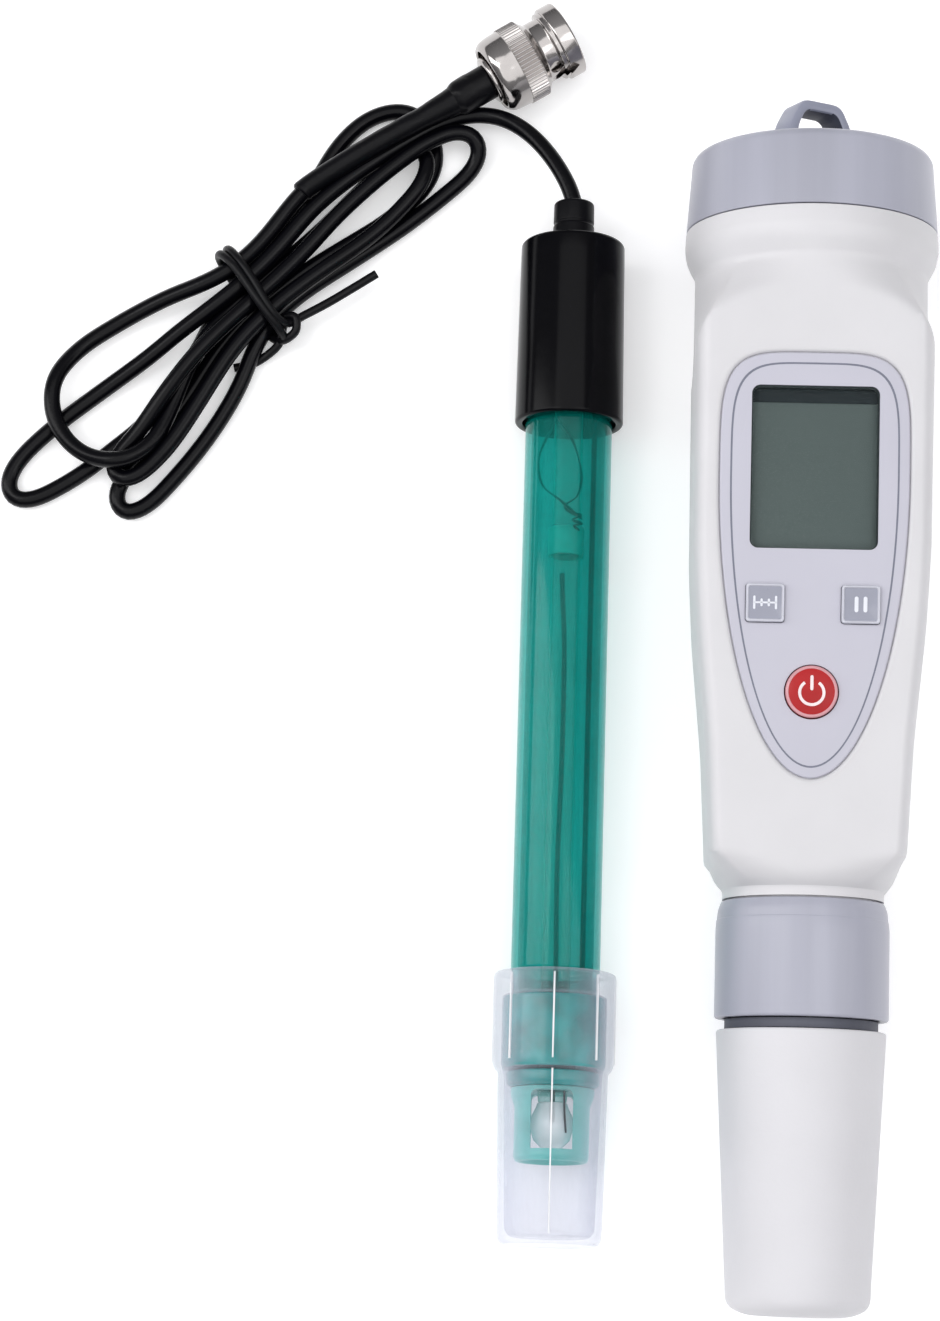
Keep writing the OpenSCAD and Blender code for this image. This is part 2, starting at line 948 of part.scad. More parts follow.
module plug_coupling() {
    color([0.8, 0.8, 0.82])
        on_plug()
            difference() {
                spin([[4.2, 9.2], [5.2, 9.2], [6.3, 9.9], [plug_r, 11], [plug_r, 15.1],
                    [5.4, 16.2], [5.3, 18.7], [6.1, 18.8], [6.6, 19.6], [6.6, 22.2],
                    [6.4, 22.4], [4.9, 22.4], [4.9, 13], [4.2, 13]]);
                for (a = [0:12:348])
                    rotate([0, 0, a])
                        translate([plug_r + 0.15, 0, 11.3])
                            cylinder(r = 0.4, h = 3.6, $fn = 6);
                for (a = [60, 240])
                    rotate([0, 0, a]) {
                        translate([0, 0, 17.4])
                            rotate([0, 90, 0])
                                cylinder(r = 1.1, h = 8);
                        rotate([0, 0, 14])
                            translate([3, 0, 19])
                                rotate([38, 0, 0])
                                    translate([0, -0.9, -2.6])
                                        cube([6, 1.8, 4.6]);
                    }
            }
}

housing();
control_panel();
display_lens();
display_glass();
display_frame();
zebra_strips();
circuit_board();
board_components();
key_switches();
board_screws();
chassis();
cal_button();
hold_button();
power_button();
battery_holder();
battery_cells();
battery_contacts();
battery_leads();
cap_o_ring();
battery_cap();
lanyard_loop();
contact_spring();
sensor_socket();
sensor_ribbon();
sensor_body();
sensor_glass();
sensor_wire();
sensor_junction();
temperature_probe();
sensor_pins();
sensor_o_ring();
cap_gasket();
lock_collar();
protective_cap();
electrode_tube();
electrode_cap();
strain_relief();
cap_potting();
inner_glass();
inner_plug();
measuring_wire();
reference_wire();
reference_junction();
storage_bottle();
bottle_seal();
cable_lead();
cable_hank();
cable_tail();
cable_sleeve();
cable_tie();
plug_boot();
plug_body();
plug_insulator();
plug_pin();
plug_gasket();
plug_washer();
plug_coupling();
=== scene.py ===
import math

import bmesh
import bpy
import numpy as np
from mathutils import Matrix, Vector


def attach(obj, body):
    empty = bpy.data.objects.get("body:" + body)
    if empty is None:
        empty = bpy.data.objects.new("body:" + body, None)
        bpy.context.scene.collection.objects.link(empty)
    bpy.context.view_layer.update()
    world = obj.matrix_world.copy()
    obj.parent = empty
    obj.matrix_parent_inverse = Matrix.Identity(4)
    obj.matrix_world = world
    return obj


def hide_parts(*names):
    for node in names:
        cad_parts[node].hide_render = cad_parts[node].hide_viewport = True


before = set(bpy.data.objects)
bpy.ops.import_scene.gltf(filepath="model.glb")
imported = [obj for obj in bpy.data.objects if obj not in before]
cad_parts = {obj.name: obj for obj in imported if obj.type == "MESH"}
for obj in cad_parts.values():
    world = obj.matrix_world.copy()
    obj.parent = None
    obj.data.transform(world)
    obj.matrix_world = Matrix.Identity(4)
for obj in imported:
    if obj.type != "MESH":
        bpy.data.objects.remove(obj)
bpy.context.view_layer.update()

MM = 0.001

# ---- Frames: the pieces are drawn in mm in the same local frames as in part.scad ----


def place(x, y, z, *turns):
    """A shift, then turns, each an axis and its degrees."""
    m = Matrix.Translation((x, y, z))
    for axis, degrees in turns:
        m = m @ Matrix.Rotation(math.radians(degrees), 4, axis)
    return m


METER_AT = (14.175, -98.17392, 11.29363)  # the middle of the protective cap's end
METER_TILT = 3.17846  # degrees that the meter's axis rises towards its battery cap
ELECTRODE_AT = (-25.075, -88.27392, 10.32303)  # the middle of the bottle's end
ELECTRODE_TILT = -0.561705
FACE_LEVEL, FACE_DEPTH, FACE_SLOPE = 72, 14.8, 2.5  # where the flat face starts, and its degrees
EXIT = (-25.075, 85.5177, 8.619)  # where the cable leaves the strain relief
PLUG_AT = (EXIT[0] - 20.9, EXIT[1] + 18.7, 6.95)
PLUG_TURN = 32

TABLE = Matrix.Scale(MM, 4)
METER_MM = place(*METER_AT, ("X", METER_TILT - 90))
METER = TABLE @ METER_MM
FACE = TABLE @ (METER_MM @ place(0, -FACE_DEPTH, FACE_LEVEL, ("X", 90 + FACE_SLOPE))
                @ place(0, -FACE_LEVEL, 0))
ELECTRODE = TABLE @ place(*ELECTRODE_AT, ("X", ELECTRODE_TILT - 90))
PLUG = TABLE @ place(*PLUG_AT, ("Z", PLUG_TURN), ("Y", 90))

# ---- Camera ----
AIM = Vector((-0.04068, 0.00829, 0))
DISTANCE = 0.6
SWING, PITCH, ROLL = (math.radians(a) for a in (2.1, 12, 1.72))
AWAY = Vector((math.sin(SWING) * math.cos(PITCH), -math.sin(PITCH),
               math.cos(SWING) * math.cos(PITCH))).normalized()
level_up = (Vector((0, 1, 0)) - AWAY * AWAY.y).normalized()
level_right = (-AWAY).cross(level_up)
up = level_up * math.cos(ROLL) - level_right * math.sin(ROLL)
right = level_right * math.cos(ROLL) + level_up * math.sin(ROLL)
lens = bpy.data.cameras.new("camera")
lens.lens = 98.1
lens.sensor_width = 36
lens.clip_start = 0.01
camera = bpy.data.objects.new("camera", lens)
camera.matrix_world = Matrix((
    (right.x, up.x, AWAY.x, 0), (right.y, up.y, AWAY.y, 0),
    (right.z, up.z, AWAY.z, 0), (0, 0, 0, 1)))
camera.location = AIM + DISTANCE * AWAY
bpy.context.collection.objects.link(camera)
bpy.context.scene.camera = camera

# ---- Materials ----


def rgb(r, g, b):
    """An sRGB colour of 0 to 255 as linear values."""
    return tuple(
        (c / 255 / 12.92 if c / 255 <= 0.04045 else ((c / 255 + 0.055) / 1.055) ** 2.4)
        for c in (r, g, b)) + (1,)


LOOKS = {}
PLASTIC_IOR = 1.46


def look(name, colour, rough=0.5, metal=0, coat=0, coat_rough=0.08, grain=(2600, 0.02),
         tone=(90, 0.06), spread=0.06, clear=None, film=0, edge=0.6, sss=0, stretch=(1, 1, 1),
         spec=0.5):
    """Adds a procedural finish to LOOKS. grain is the bump's scale per metre and its depth in mm;
    tone is the scale and share of the colour's variation, and spread is the roughness's. clear
    is the tint that passes straight through, film is how much of the surface's own colour shows
    where it is seen square on, and edge is how much more of it shows where it turns away."""
    material = bpy.data.materials.new(name)
    material.use_nodes = True
    tree = material.node_tree
    link = tree.links.new
    surface = tree.nodes["Principled BSDF"]
    finish = {"Metallic": metal, "IOR": PLASTIC_IOR, "Coat Weight": coat,
              "Coat Roughness": coat_rough, "Specular IOR Level": spec}
    if sss:
        finish.update({"Subsurface Weight": sss, "Subsurface Radius": (0.002, 0.002, 0.002),
                       "Subsurface Scale": 1})
    for socket, value in finish.items():
        surface.inputs[socket].default_value = value

    def node(kind, **values):
        made = tree.nodes.new("ShaderNode" + kind)
        for socket, value in values.items():
            made.inputs[socket.replace("_", " ")].default_value = value
        return made

    mapping = node("Mapping", Scale=stretch)
    link(node("TexCoord").outputs["Object"], mapping.inputs["Vector"])

    def noise(scale, detail):
        made = node("TexNoise", Scale=scale, Detail=detail, Roughness=0.55)
        link(mapping.outputs["Vector"], made.inputs["Vector"])
        return made.outputs["Fac"]

    tone_scale, tone_share = tone
    ramp = node("ValToRGB")
    dark, light = ramp.color_ramp.elements
    dark.position, light.position = 0.3, 0.7
    dark.color = tuple(c * (1 - tone_share) for c in colour[:3]) + (1,)
    light.color = tuple(min(1, c * (1 + tone_share * 0.5)) for c in colour[:3]) + (1,)
    link(noise(tone_scale, 4), ramp.inputs["Fac"])
    link(ramp.outputs["Color"], surface.inputs["Base Color"])
    roughness = node("MapRange", To_Min=max(0.02, rough - spread), To_Max=min(1, rough + spread))
    link(noise(tone_scale * 5, 3), roughness.inputs["Value"])
    link(roughness.outputs["Result"], surface.inputs["Roughness"])
    grain_scale, grain_depth = grain
    bump = node("Bump", Strength=1, Distance=grain_depth * MM)
    link(noise(grain_scale, 2), bump.inputs["Height"])
    link(bump.outputs["Normal"], surface.inputs["Normal"])
    if clear:
        through = node("BsdfTransparent", Color=clear)
        rise = node("MapRange", To_Min=film, To_Max=min(1, film + edge))
        mix = node("MixShader")
        link(node("LayerWeight", Blend=0.35).outputs["Facing"], rise.inputs["Value"])
        link(rise.outputs["Result"], mix.inputs["Fac"])
        link(through.outputs["BSDF"], mix.inputs[1])
        link(surface.outputs["BSDF"], mix.inputs[2])
        link(mix.outputs["Shader"], tree.nodes["Material Output"].inputs["Surface"])
    LOOKS[name] = material
    return material


look("shell", rgb(209, 208, 211), 0.42, grain=(2400, 0.012), tone=(60, 0.03), sss=0.05)
look("cap_white", rgb(211, 210, 214), 0.5, grain=(1700, 0.02), tone=(60, 0.03))
look("grey_cap", rgb(166, 167, 180), 0.33, grain=(2600, 0.008), tone=(95, 0.13),
     stretch=(1, 0.05, 0.2))
# Dark blue-grey for the inside of the lanyard loop's opening: a painted shade where the opening is
# shadowed
look("loop_painted_shade", rgb(58, 61, 75), 0.5, grain=(2600, 0.015), tone=(120, 0.1))
look("loop", rgb(146, 149, 166), 0.38, grain=(2600, 0.015), tone=(120, 0.06))
look("panel", rgb(187, 186, 198), 0.36, grain=(5200, 0.008), tone=(45, 0.025))
look("line", rgb(112, 115, 130), 0.45, grain=(5200, 0.005), tone=(300, 0.08))
look("lens", rgb(70, 80, 80), 0.12, clear=(0.93, 0.95, 0.95, 1), film=0.03, grain=(900, 0.002))
look("display", rgb(97, 107, 105), 0.5, grain=(5200, 0.02), tone=(3800, 0.13))
look("shade", rgb(52, 60, 62), 0.6, grain=(4200, 0.02), tone=(1500, 0.2))
# A dark, partly clear strip for the top of the display: a painted shadow of the window's upper edge
look("band", rgb(64, 70, 76), 0.6, clear=(0.62, 0.66, 0.7, 1), film=0.35, grain=(5200, 0.01),
     tone=(2600, 0.2))
look("key", rgb(140, 142, 157), 0.3, grain=(3000, 0.008), tone=(200, 0.05), coat=0.5)
look("key_rim", rgb(196, 197, 208), 0.16, coat=0.9, coat_rough=0.04, grain=(900, 0.004),
     tone=(260, 0.1))
look("key_mark", rgb(226, 228, 236), 0.4, grain=(5000, 0.006), tone=(400, 0.06))
look("power_key", rgb(172, 28, 32), 0.3, grain=(1500, 0.006), tone=(160, 0.14), spec=0.25)
look("power_ring", rgb(206, 150, 156), 0.35, grain=(3000, 0.01), tone=(300, 0.08))
look("power_mark", rgb(240, 222, 224), 0.35, grain=(4000, 0.01), tone=(500, 0.12))
# Grey-blue for the gasket in the gap under the lock collar: partly its own colour, partly a painted
# shade of that gap
look("gasket", rgb(84, 86, 97), 0.6, grain=(2500, 0.03), tone=(200, 0.1))
look("gloss_black", rgb(4, 4, 7), 0.17, grain=(500, 0.004), tone=(150, 0.2), spec=0.12, spread=0.03)
look("gland", rgb(6, 6, 10), 0.34, spec=0.15, grain=(2200, 0.02), tone=(150, 0.2))
look("tube", rgb(0, 140, 130), 0.1, clear=(0.34, 0.86, 0.845, 1), film=0.16, grain=(260, 0.02),
     tone=(70, 0.25), coat=0.6, coat_rough=0.04, spread=0.04)
look("inner_glass", rgb(150, 225, 216), 0.08, clear=(0.8, 0.97, 0.95, 1), film=0.12,
     grain=(300, 0.01), tone=(120, 0.1))
look("filler", rgb(40, 160, 146), 0.35, clear=(0.45, 0.9, 0.84, 1), film=0.3, grain=(700, 0.1),
     tone=(300, 0.4))
look("potting", rgb(160, 214, 204), 0.45, grain=(900, 0.08), tone=(400, 0.15))
look("wire", rgb(90, 84, 76), 0.4, metal=0.8, grain=(3000, 0.02), tone=(800, 0.3))
look("dark_wire", rgb(26, 30, 30), 0.45, metal=0.4, grain=(3000, 0.03), tone=(900, 0.4))
look("trace", rgb(0, 66, 62), 0.4, grain=(2000, 0.02), tone=(900, 0.3))
look("junction", rgb(225, 236, 230), 0.75, grain=(2600, 0.06), tone=(900, 0.1))
look("guard", rgb(128, 214, 208), 0.3, clear=(0.62, 0.94, 0.92, 1), film=0.5, grain=(400, 0.03),
     tone=(150, 0.2))
look("bulb", rgb(240, 246, 248), 0.16, clear=(0.98, 1, 1, 1), film=0.5, grain=(500, 0.02),
     tone=(250, 0.1), coat=0.6)
# Near-white and mostly opaque, for the collar's ribs and the strip down the bottle: its whiteness
# is a painted highlight
look("rib", rgb(250, 250, 252), 0.2, clear=(1, 1, 1, 1), film=0.75, coat=0.5, grain=(500, 0.02))
look("bottle", rgb(214, 217, 232), 0.16, clear=(0.972, 0.974, 0.985, 1), film=0.03, edge=0.7,
     grain=(260, 0.03), tone=(80, 0.08), coat=0.5, coat_rough=0.06)
look("seal", rgb(0, 146, 142), 0.22, grain=(300, 0.05), tone=(200, 0.4))
look("cable", rgb(5, 5, 9), 0.24, spec=0.16, grain=(1600, 0.02), tone=(120, 0.25))
look("sleeve", rgb(7, 7, 11), 0.34, spec=0.15, grain=(1300, 0.05), tone=(160, 0.25))
look("tie", rgb(8, 8, 12), 0.38, spec=0.2, grain=(1500, 0.05), tone=(300, 0.25))
look("nickel", rgb(172, 168, 166), 0.14, metal=1, grain=(900, 0.006), tone=(300, 0.06), spread=0.06)
look("ptfe", rgb(238, 238, 236), 0.5, grain=(1200, 0.02), tone=(200, 0.04))
look("gold", rgb(214, 178, 98), 0.22, metal=1, grain=(1500, 0.01), tone=(300, 0.1))
look("steel", rgb(190, 190, 190), 0.28, metal=1, grain=(1800, 0.01), tone=(300, 0.08),
     stretch=(1, 0.2, 1))
look("cell", rgb(200, 200, 202), 0.3, metal=1, grain=(1500, 0.01), tone=(200, 0.06))
look("contact", rgb(214, 204, 170), 0.3, metal=1, grain=(1500, 0.01), tone=(200, 0.1))
look("black_rubber", rgb(28, 28, 31), 0.6, grain=(2600, 0.03), tone=(200, 0.15))
look("red_rubber", rgb(168, 54, 44), 0.6, grain=(2600, 0.03), tone=(200, 0.1))
look("board", rgb(24, 92, 52), 0.35, grain=(1800, 0.03), tone=(350, 0.25))
look("component", rgb(30, 30, 33), 0.45, grain=(2500, 0.02), tone=(300, 0.15))
look("elastomer", rgb(196, 120, 140), 0.6, grain=(3000, 0.02), tone=(1500, 0.3))
look("inner_white", rgb(222, 222, 216), 0.5, grain=(1800, 0.02), tone=(120, 0.04))
look("inner_black", rgb(34, 35, 38), 0.5, grain=(1800, 0.02), tone=(120, 0.12))
look("ribbon", rgb(196, 120, 44), 0.3, grain=(1200, 0.01), tone=(200, 0.12))
look("lead_wire", rgb(176, 34, 34), 0.4, grain=(1800, 0.01), tone=(200, 0.1))

# ---- Mesh helpers ----


def mesh_of(name, verts, faces, at):
    """A mesh from its vertices in mm in the frame `at`, with its doubles joined."""
    mesh = bpy.data.meshes.new(name)
    mesh.from_pydata([at @ Vector(v) for v in verts], [], faces)
    bm = bmesh.new()
    bm.from_mesh(mesh)
    bmesh.ops.remove_doubles(bm, verts=bm.verts, dist=1e-7)
    bmesh.ops.recalc_face_normals(bm, faces=bm.faces)
    bm.to_mesh(mesh)
    bm.free()
    return mesh


def shade(mesh, sharp):
    """Shades a mesh smooth, apart from its edges of more than `sharp` degrees."""
    mesh.shade_smooth()
    mesh.set_sharp_from_angle(angle=math.radians(sharp))


def linked(name, data):
    obj = bpy.data.objects.new(name, data)
    bpy.context.collection.objects.link(obj)
    return obj


def add(name, verts, faces, at, body, look_name, slot=None, replaces=(), sharp=32):
    """A piece that rides on a body, in the material of its look; slot is not used."""
    mesh = mesh_of(name, verts, faces, at)
    shade(mesh, sharp)
    obj = linked(name, mesh)
    mesh.materials.append(LOOKS[look_name])
    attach(obj, body)
    if replaces:
        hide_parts(*replaces)
    return obj


def soften(points, radius, closed=False, steps=4):
    """The outline with its corners rounded; a point may carry its own radius as a third value."""
    out = []
    n = len(points)
    for i, point in enumerate(points):
        p = np.array(point[:2], float)
        r = point[2] if len(point) > 2 else radius
        if (not closed and i in (0, n - 1)) or r == 0:
            out.append(tuple(p))
            continue
        a = np.array(points[i - 1][:2], float) - p
        b = np.array(points[(i + 1) % n][:2], float) - p
        la, lb = np.linalg.norm(a), np.linalg.norm(b)
        cut = min(r, 0.45 * la, 0.45 * lb)
        if cut < 1e-4:
            out.append(tuple(p))
            continue
        s, e = p + a / la * cut, p + b / lb * cut
        for k in range(steps + 1):
            u = k / steps
            out.append(tuple((1 - u) ** 2 * s + 2 * u * (1 - u) * p + u * u * e))
    return out


def lathe(points, steps=96, wave=None):
    """Vertices and faces of a turned piece. points are (radius, z); one that starts and ends off
    the axis is a closed loop. wave(angle, radius, z) gives another radius."""
    verts, rings, faces = [], [], []
    for r, z in points:
        if r < 1e-6:
            rings.append([len(verts)])
            verts.append((0, 0, z))
            continue
        rings.append(list(range(len(verts), len(verts) + steps)))
        for k in range(steps):
            a = 2 * math.pi * k / steps
            rr = wave(a, r, z) if wave else r
            verts.append((rr * math.cos(a), rr * math.sin(a), z))
    pairs = list(zip(rings, rings[1:]))
    if points[0][0] > 1e-6 and points[-1][0] > 1e-6:
        pairs.append((rings[-1], rings[0]))
    for a, b in pairs:
        if len(a) == 1 and len(b) == 1:
            continue
        for k in range(steps):
            j = (k + 1) % steps
            if len(a) == 1:
                faces.append((a[0], b[j], b[k]))
            elif len(b) == 1:
                faces.append((a[k], a[j], b[0]))
            else:
                faces.append((a[k], a[j], b[j], b[k]))
    return verts, faces


def turned(name, points, at, body, look_name, radius=0.3, steps=96, wave=None, **more):
    """A turned piece; radius rounds the corners of its outline."""
    loop = points[0][0] > 1e-6 and points[-1][0] > 1e-6
    return add(name, *lathe(soften(points, radius, loop), steps, wave), at, body, look_name, **more)


def offset(outline, d):
    """A closed outline moved inwards by d along its normals; the outline runs anticlockwise."""
    p = np.array(outline, float)
    t = np.roll(p, -1, 0) - np.roll(p, 1, 0)
    t /= np.linalg.norm(t, axis=1)[:, None]
    return p + d * np.stack([-t[:, 1], t[:, 0]], 1)


def ring_faces(count, n, closed=True):
    """Faces between rings of n points each; closed joins the last ring to the first."""
    faces = []
    for i in range(count if closed else count - 1):
        a, b = i * n, (i + 1) % count * n
        for k in range(n):
            j = (k + 1) % n
            faces.append((a + k, a + j, b + j, b + k))
    return faces


def capped_faces(count, n):
    """Faces between rings of n points each, with a face over each end."""
    return (ring_faces(count, n, False)
            + [tuple(range(n - 1, -1, -1)), tuple(range((count - 1) * n, count * n))])


def levelled(outline, levels):
    """Rings of points: the outline moved inwards by each level's inset, at its height."""
    return [(x, y, z) for inset, z in levels for x, y in offset(outline, inset)]


def slab(outline, low, high, edge=0.3, steps=4, bottom=0.0):
    """A flat piece from its outline, with its upper edge rounded, and its lower one by `bottom`."""
    levels = []
    if bottom:
        levels += [(bottom * (1 - math.sin(a)), low + bottom * (1 - math.cos(a)))
                   for a in np.linspace(0, math.pi / 2, steps)]
    else:
        levels.append((0, low))
    levels += [(edge * (1 - math.cos(a)), high - edge + edge * math.sin(a))
               for a in np.linspace(0, math.pi / 2, steps + 1)]
    return levelled(outline, levels), capped_faces(len(levels), len(outline))


def rounded_rect(w, h, r, steps=8, cx=0, cy=0):
    """An outline w by h about (cx, cy), with corners of radius r."""
    out = []
    for sx, sy, a0 in ((1, 1, 0), (-1, 1, 90), (-1, -1, 180), (1, -1, 270)):
        for k in range(steps + 1):
            a = math.radians(a0 + 90 * k / steps)
            out.append((cx + sx * (w / 2 - r) + r * math.cos(a),
                        cy + sy * (h / 2 - r) + r * math.sin(a)))
    return out


def band(outer, inner, low, high, edge=0.1):
    """A flat ring between two outlines with the same number of points, its edges eased."""
    loops = [(outer, 0, low), (outer, 0, high - edge), (outer, edge, high),
             (inner, -edge, high), (inner, 0, high - edge), (inner, 0, low)]
    verts = []
    for outline, inset, z in loops:
        verts += [(x, y, z) for x, y in offset(outline, inset)]
    return verts, ring_faces(len(loops), len(outer))


def mixed(u, v, start, end, s):
    """u where s is start, v where s is end, and straight on between them."""
    return (end - s) / (end - start) * u + (s - start) / (end - start) * v


def smooth_path(points, step=1.0):
    """A centripetal Catmull-Rom curve through the points, sampled about every `step` mm."""
    p = np.array(points, float)
    p = np.vstack([2 * p[0] - p[1], p, 2 * p[-1] - p[-2]])
    out = []
    for i in range(1, len(p) - 2):
        a, b, c, d = p[i - 1], p[i], p[i + 1], p[i + 2]
        t = [0.0]
        for u, v in ((a, b), (b, c), (c, d)):
            t.append(t[-1] + max(1e-6, np.linalg.norm(v - u)) ** 0.5)
        count = max(2, int(math.ceil(np.linalg.norm(c - b) / step)))
        for s in np.linspace(t[1], t[2], count, endpoint=False):
            ab = mixed(a, b, t[0], t[1], s)
            bc = mixed(b, c, t[1], t[2], s)
            cd = mixed(c, d, t[2], t[3], s)
            out.append(mixed(mixed(ab, bc, t[0], t[2], s), mixed(bc, cd, t[1], t[3], s),
                             t[1], t[2], s))
    out.append(p[-2])
    return np.array(out)


def sweep(path, size, sides=20, flat=1.0):
    """A cord along a path. size(share of the way) is its radius; flat squeezes it upright."""
    path = np.array(path, float)
    n = len(path)
    tangent = np.gradient(path, axis=0)
    tangent /= np.linalg.norm(tangent, axis=1)[:, None]
    side = np.cross([0, 0, 1.0], tangent[0])
    if np.linalg.norm(side) < 0.1:
        side = np.array([1.0, 0, 0])
    verts = []
    for i in range(n):
        side = side - tangent[i] * side.dot(tangent[i])
        side /= np.linalg.norm(side)
        up = np.cross(tangent[i], side)
        r = size(i / (n - 1))
        for k in range(sides):
            a = 2 * math.pi * k / sides
            verts.append(tuple(path[i] + r * math.cos(a) * side + r * flat * math.sin(a) * up))
    return verts, capped_faces(n, sides)


def cutter(verts, faces, at):
    """A shape to cut away, in mm in the frame `at`."""
    return linked("cutter", mesh_of("cutter", verts, faces, at))


def cut(obj, cutters, sharp=32):
    """Cuts the other pieces' shapes out of a piece, and drops them."""
    for c in cutters:
        m = obj.modifiers.new("cut", "BOOLEAN")
        m.operation, m.solver, m.object = "DIFFERENCE", "EXACT", c
    bpy.context.view_layer.update()
    deps = bpy.context.evaluated_depsgraph_get()
    mesh = bpy.data.meshes.new_from_object(obj.evaluated_get(deps))
    obj.modifiers.clear()
    obj.data = mesh
    shade(mesh, sharp)
    for c in cutters:
        bpy.data.objects.remove(c)


# ---- The cable: its lead, its tied hank and its tail, one cord in mm on the table ----
CABLE_D = 2.8
TIE = np.array([-79.3, 70.2])  # the middle of the tie
ALONG = np.array([0.777, 0.629])  # the strands' direction in the tie, towards the plug
ACROSS = np.array([-0.63, 0.777])
TOP, LOW = 5.3, 2.5  # heights of the two layers of strands in the tie


def slot_at(q, z, way):
    """Three points through the tie at q mm across, heading right (1) or left (-1)."""
    c = TIE + q * ACROSS
    return [(*(c + way * s * ALONG), z) for s in (-4, 0, 4)]


# The lead, four strands through the tie each way, and the tail
ROUTE = (
    [(-25.075, 85.52, 8.6), (-25.6, 87.6, 8.5), (-27.2, 91.0, 8.1), (-29.4, 94.6, 7.3),
     (-32.3, 98.2, 6.2), (-35.7, 101.0, 5.2), (-39.4, 102.5, 4.5), (-43.5, 102.5, 4.3),
     (-47.6, 101.2, 4.3), (-51.9, 98.6, 4.5), (-57, 95.4, 4.8), (-64, 90.2, 5.2),
     (-70, 84.5, 5.4), (-74.6, 78.4, 5.4)]
    + slot_at(1.4, TOP, -1)
    + [(-88.5, 65.6, 4.4), (-96, 59.3, 3.0), (-104.5, 53, 1.6), (-112.7, 46.3, 1.4),
       (-118, 40.6, 1.4), (-119.6, 36.9, 1.4), (-118.6, 34.0, 1.4), (-115.4, 33.9, 1.4),
       (-111.3, 35.9, 1.4), (-106.1, 39.4, 1.4), (-102.2, 42.8, 1.4), (-98.2, 46.2, 1.6),
       (-93.5, 51.3, 2.2), (-89, 58.5, 2.5), (-85.8, 66, 2.5)]
    + slot_at(4.2, LOW, 1)
    + [(-74.6, 80.5, 2.4), (-71.6, 86.4, 2.0), (-69.0, 91.8, 1.6), (-65.6, 98, 1.4),
       (-61, 102.6, 1.4), (-56.2, 104.3, 1.4), (-52.6, 103.5, 1.4), (-50.2, 100.2, 1.4),
       (-49.2, 95.6, 1.4), (-50.8, 90.6, 1.4), (-56.2, 84.8, 1.4), (-65, 78.6, 2.0)]
    + slot_at(-1.4, LOW, -1)
    + [(-84.6, 61.5, 2.2), (-88.8, 54, 1.6), (-94.8, 45, 1.4), (-99.8, 38.4, 1.4),
       (-101.3, 34.9, 1.4), (-99.8, 31.9, 1.4), (-96.4, 32.9, 1.4), (-90.6, 39.1, 1.4),
       (-84.7, 47.5, 1.5), (-80.6, 55.2, 2.0), (-78.6, 60.5, 2.4)]
    + slot_at(-4.2, LOW, 1)
    + [(-67.5, 73.6, 2.4), (-58.1, 80.7, 1.7), (-52.6, 84.9, 1.5), (-47, 89.6, 1.5),
       (-42.9, 93.6, 1.8), (-41.4, 96.9, 3.0), (-42.6, 99.3, 4.0), (-46.0, 99.7, 4.3),
       (-50.2, 97.6, 4.4), (-54.2, 94.6, 4.6), (-58.8, 90.6, 4.9), (-66, 83.2, 5.2),
       (-71.5, 76.2, 5.3)]
    + slot_at(-1.4, TOP, -1)
    + [(-86.6, 61, 5.0), (-91.6, 53.6, 4.6), (-97.4, 45.2, 4.2), (-100.9, 41.2, 4.2),
       (-101.6, 38.4, 4.2), (-100.1, 36.9, 4.2), (-97.6, 37.6, 4.2), (-92.7, 42.5, 4.2),
       (-88.6, 48.9, 4.4), (-84.8, 55.6, 4.8), (-81.8, 60.8, 5.2)]
    + slot_at(-4.2, TOP, 1)
    + [(-68.2, 73.8, 4.9), (-60.2, 80.0, 4.4), (-54.8, 85.4, 4.2), (-51.0, 90.4, 4.2),
       (-50.0, 94.4, 3.6), (-51.4, 97.2, 2.4), (-54.6, 97.0, 1.5), (-60.8, 90.6, 1.5),
       (-69.7, 80.6, 2.3)]
    + slot_at(1.4, LOW, -1)
    + [(-86.6, 64.2, 2.8), (-90.2, 56.4, 3.4), (-92.6, 49.6, 4.0), (-95.2, 43.6, 4.2),
       (-99.6, 40.2, 4.6), (-105, 40.5, 4.4), (-109.5, 43.6, 4.2), (-112.2, 48.8, 4.2),
       (-112.2, 54.2, 4.2), (-108.6, 60.0, 2.6), (-102.1, 64.9, 2.2), (-94.7, 68.9, 3.4),
       (-88.8, 71.4, 4.8)]
    + slot_at(4.2, TOP, 1)
    + [(-76.8, 80.6, 5.4), (-73.6, 85.0, 5.6), (-70.9, 88.4, 5.8), (-63.1, 93.8, 6.4),
       (-55.1, 98.7, 7.0), (-50.2, 101.6, 7.0), (PLUG_AT[0], PLUG_AT[1], 6.95),
       (PLUG_AT[0] + 1.7, PLUG_AT[1] + 1.06, 6.95)]
)


def settle(path, d, rounds=70):
    """Moves strands apart where they lie in each other, mostly up and down, and keeps them on
    the table and smooth. The 8 points at the start and the 22 at the end stay."""
    p = path.copy()
    moved = np.zeros_like(p)
    index = np.arange(len(p))
    near = np.abs(index[:, None] - index[None, :]) < 5
    hold = np.ones(len(p))
    hold[:8] = 0
    hold[-22:] = 0
    weight = np.array([0.35, 0.35, 1.0])
    for _ in range(rounds):
        gap = p[:, None, :] - p[None, :, :]
        dist = np.linalg.norm(gap, axis=2)
        dist[near] = 99
        push = np.clip(d * 0.98 - dist, 0, None) / np.maximum(dist, 0.2)
        lift = gap.copy()
        flat = np.abs(gap[:, :, 2]) < 0.15
        lift[:, :, 2] = np.where(flat, 0.15 * np.sign(index[:, None] - index[None, :]),
                                 gap[:, :, 2])
        move = (push[:, :, None] * lift * weight).sum(1) * 0.22
        size = np.linalg.norm(move, axis=1)
        move *= (np.minimum(size, 0.3) / np.maximum(size, 1e-9))[:, None]
        moved += move * hold[:, None]
        moved[1:-1] += 0.5 * hold[1:-1, None] * (0.5 * (moved[:-2] + moved[2:]) - moved[1:-1])
        p = path + moved
        p[:, 2] = np.clip(p[:, 2], d / 2, None)
    return p


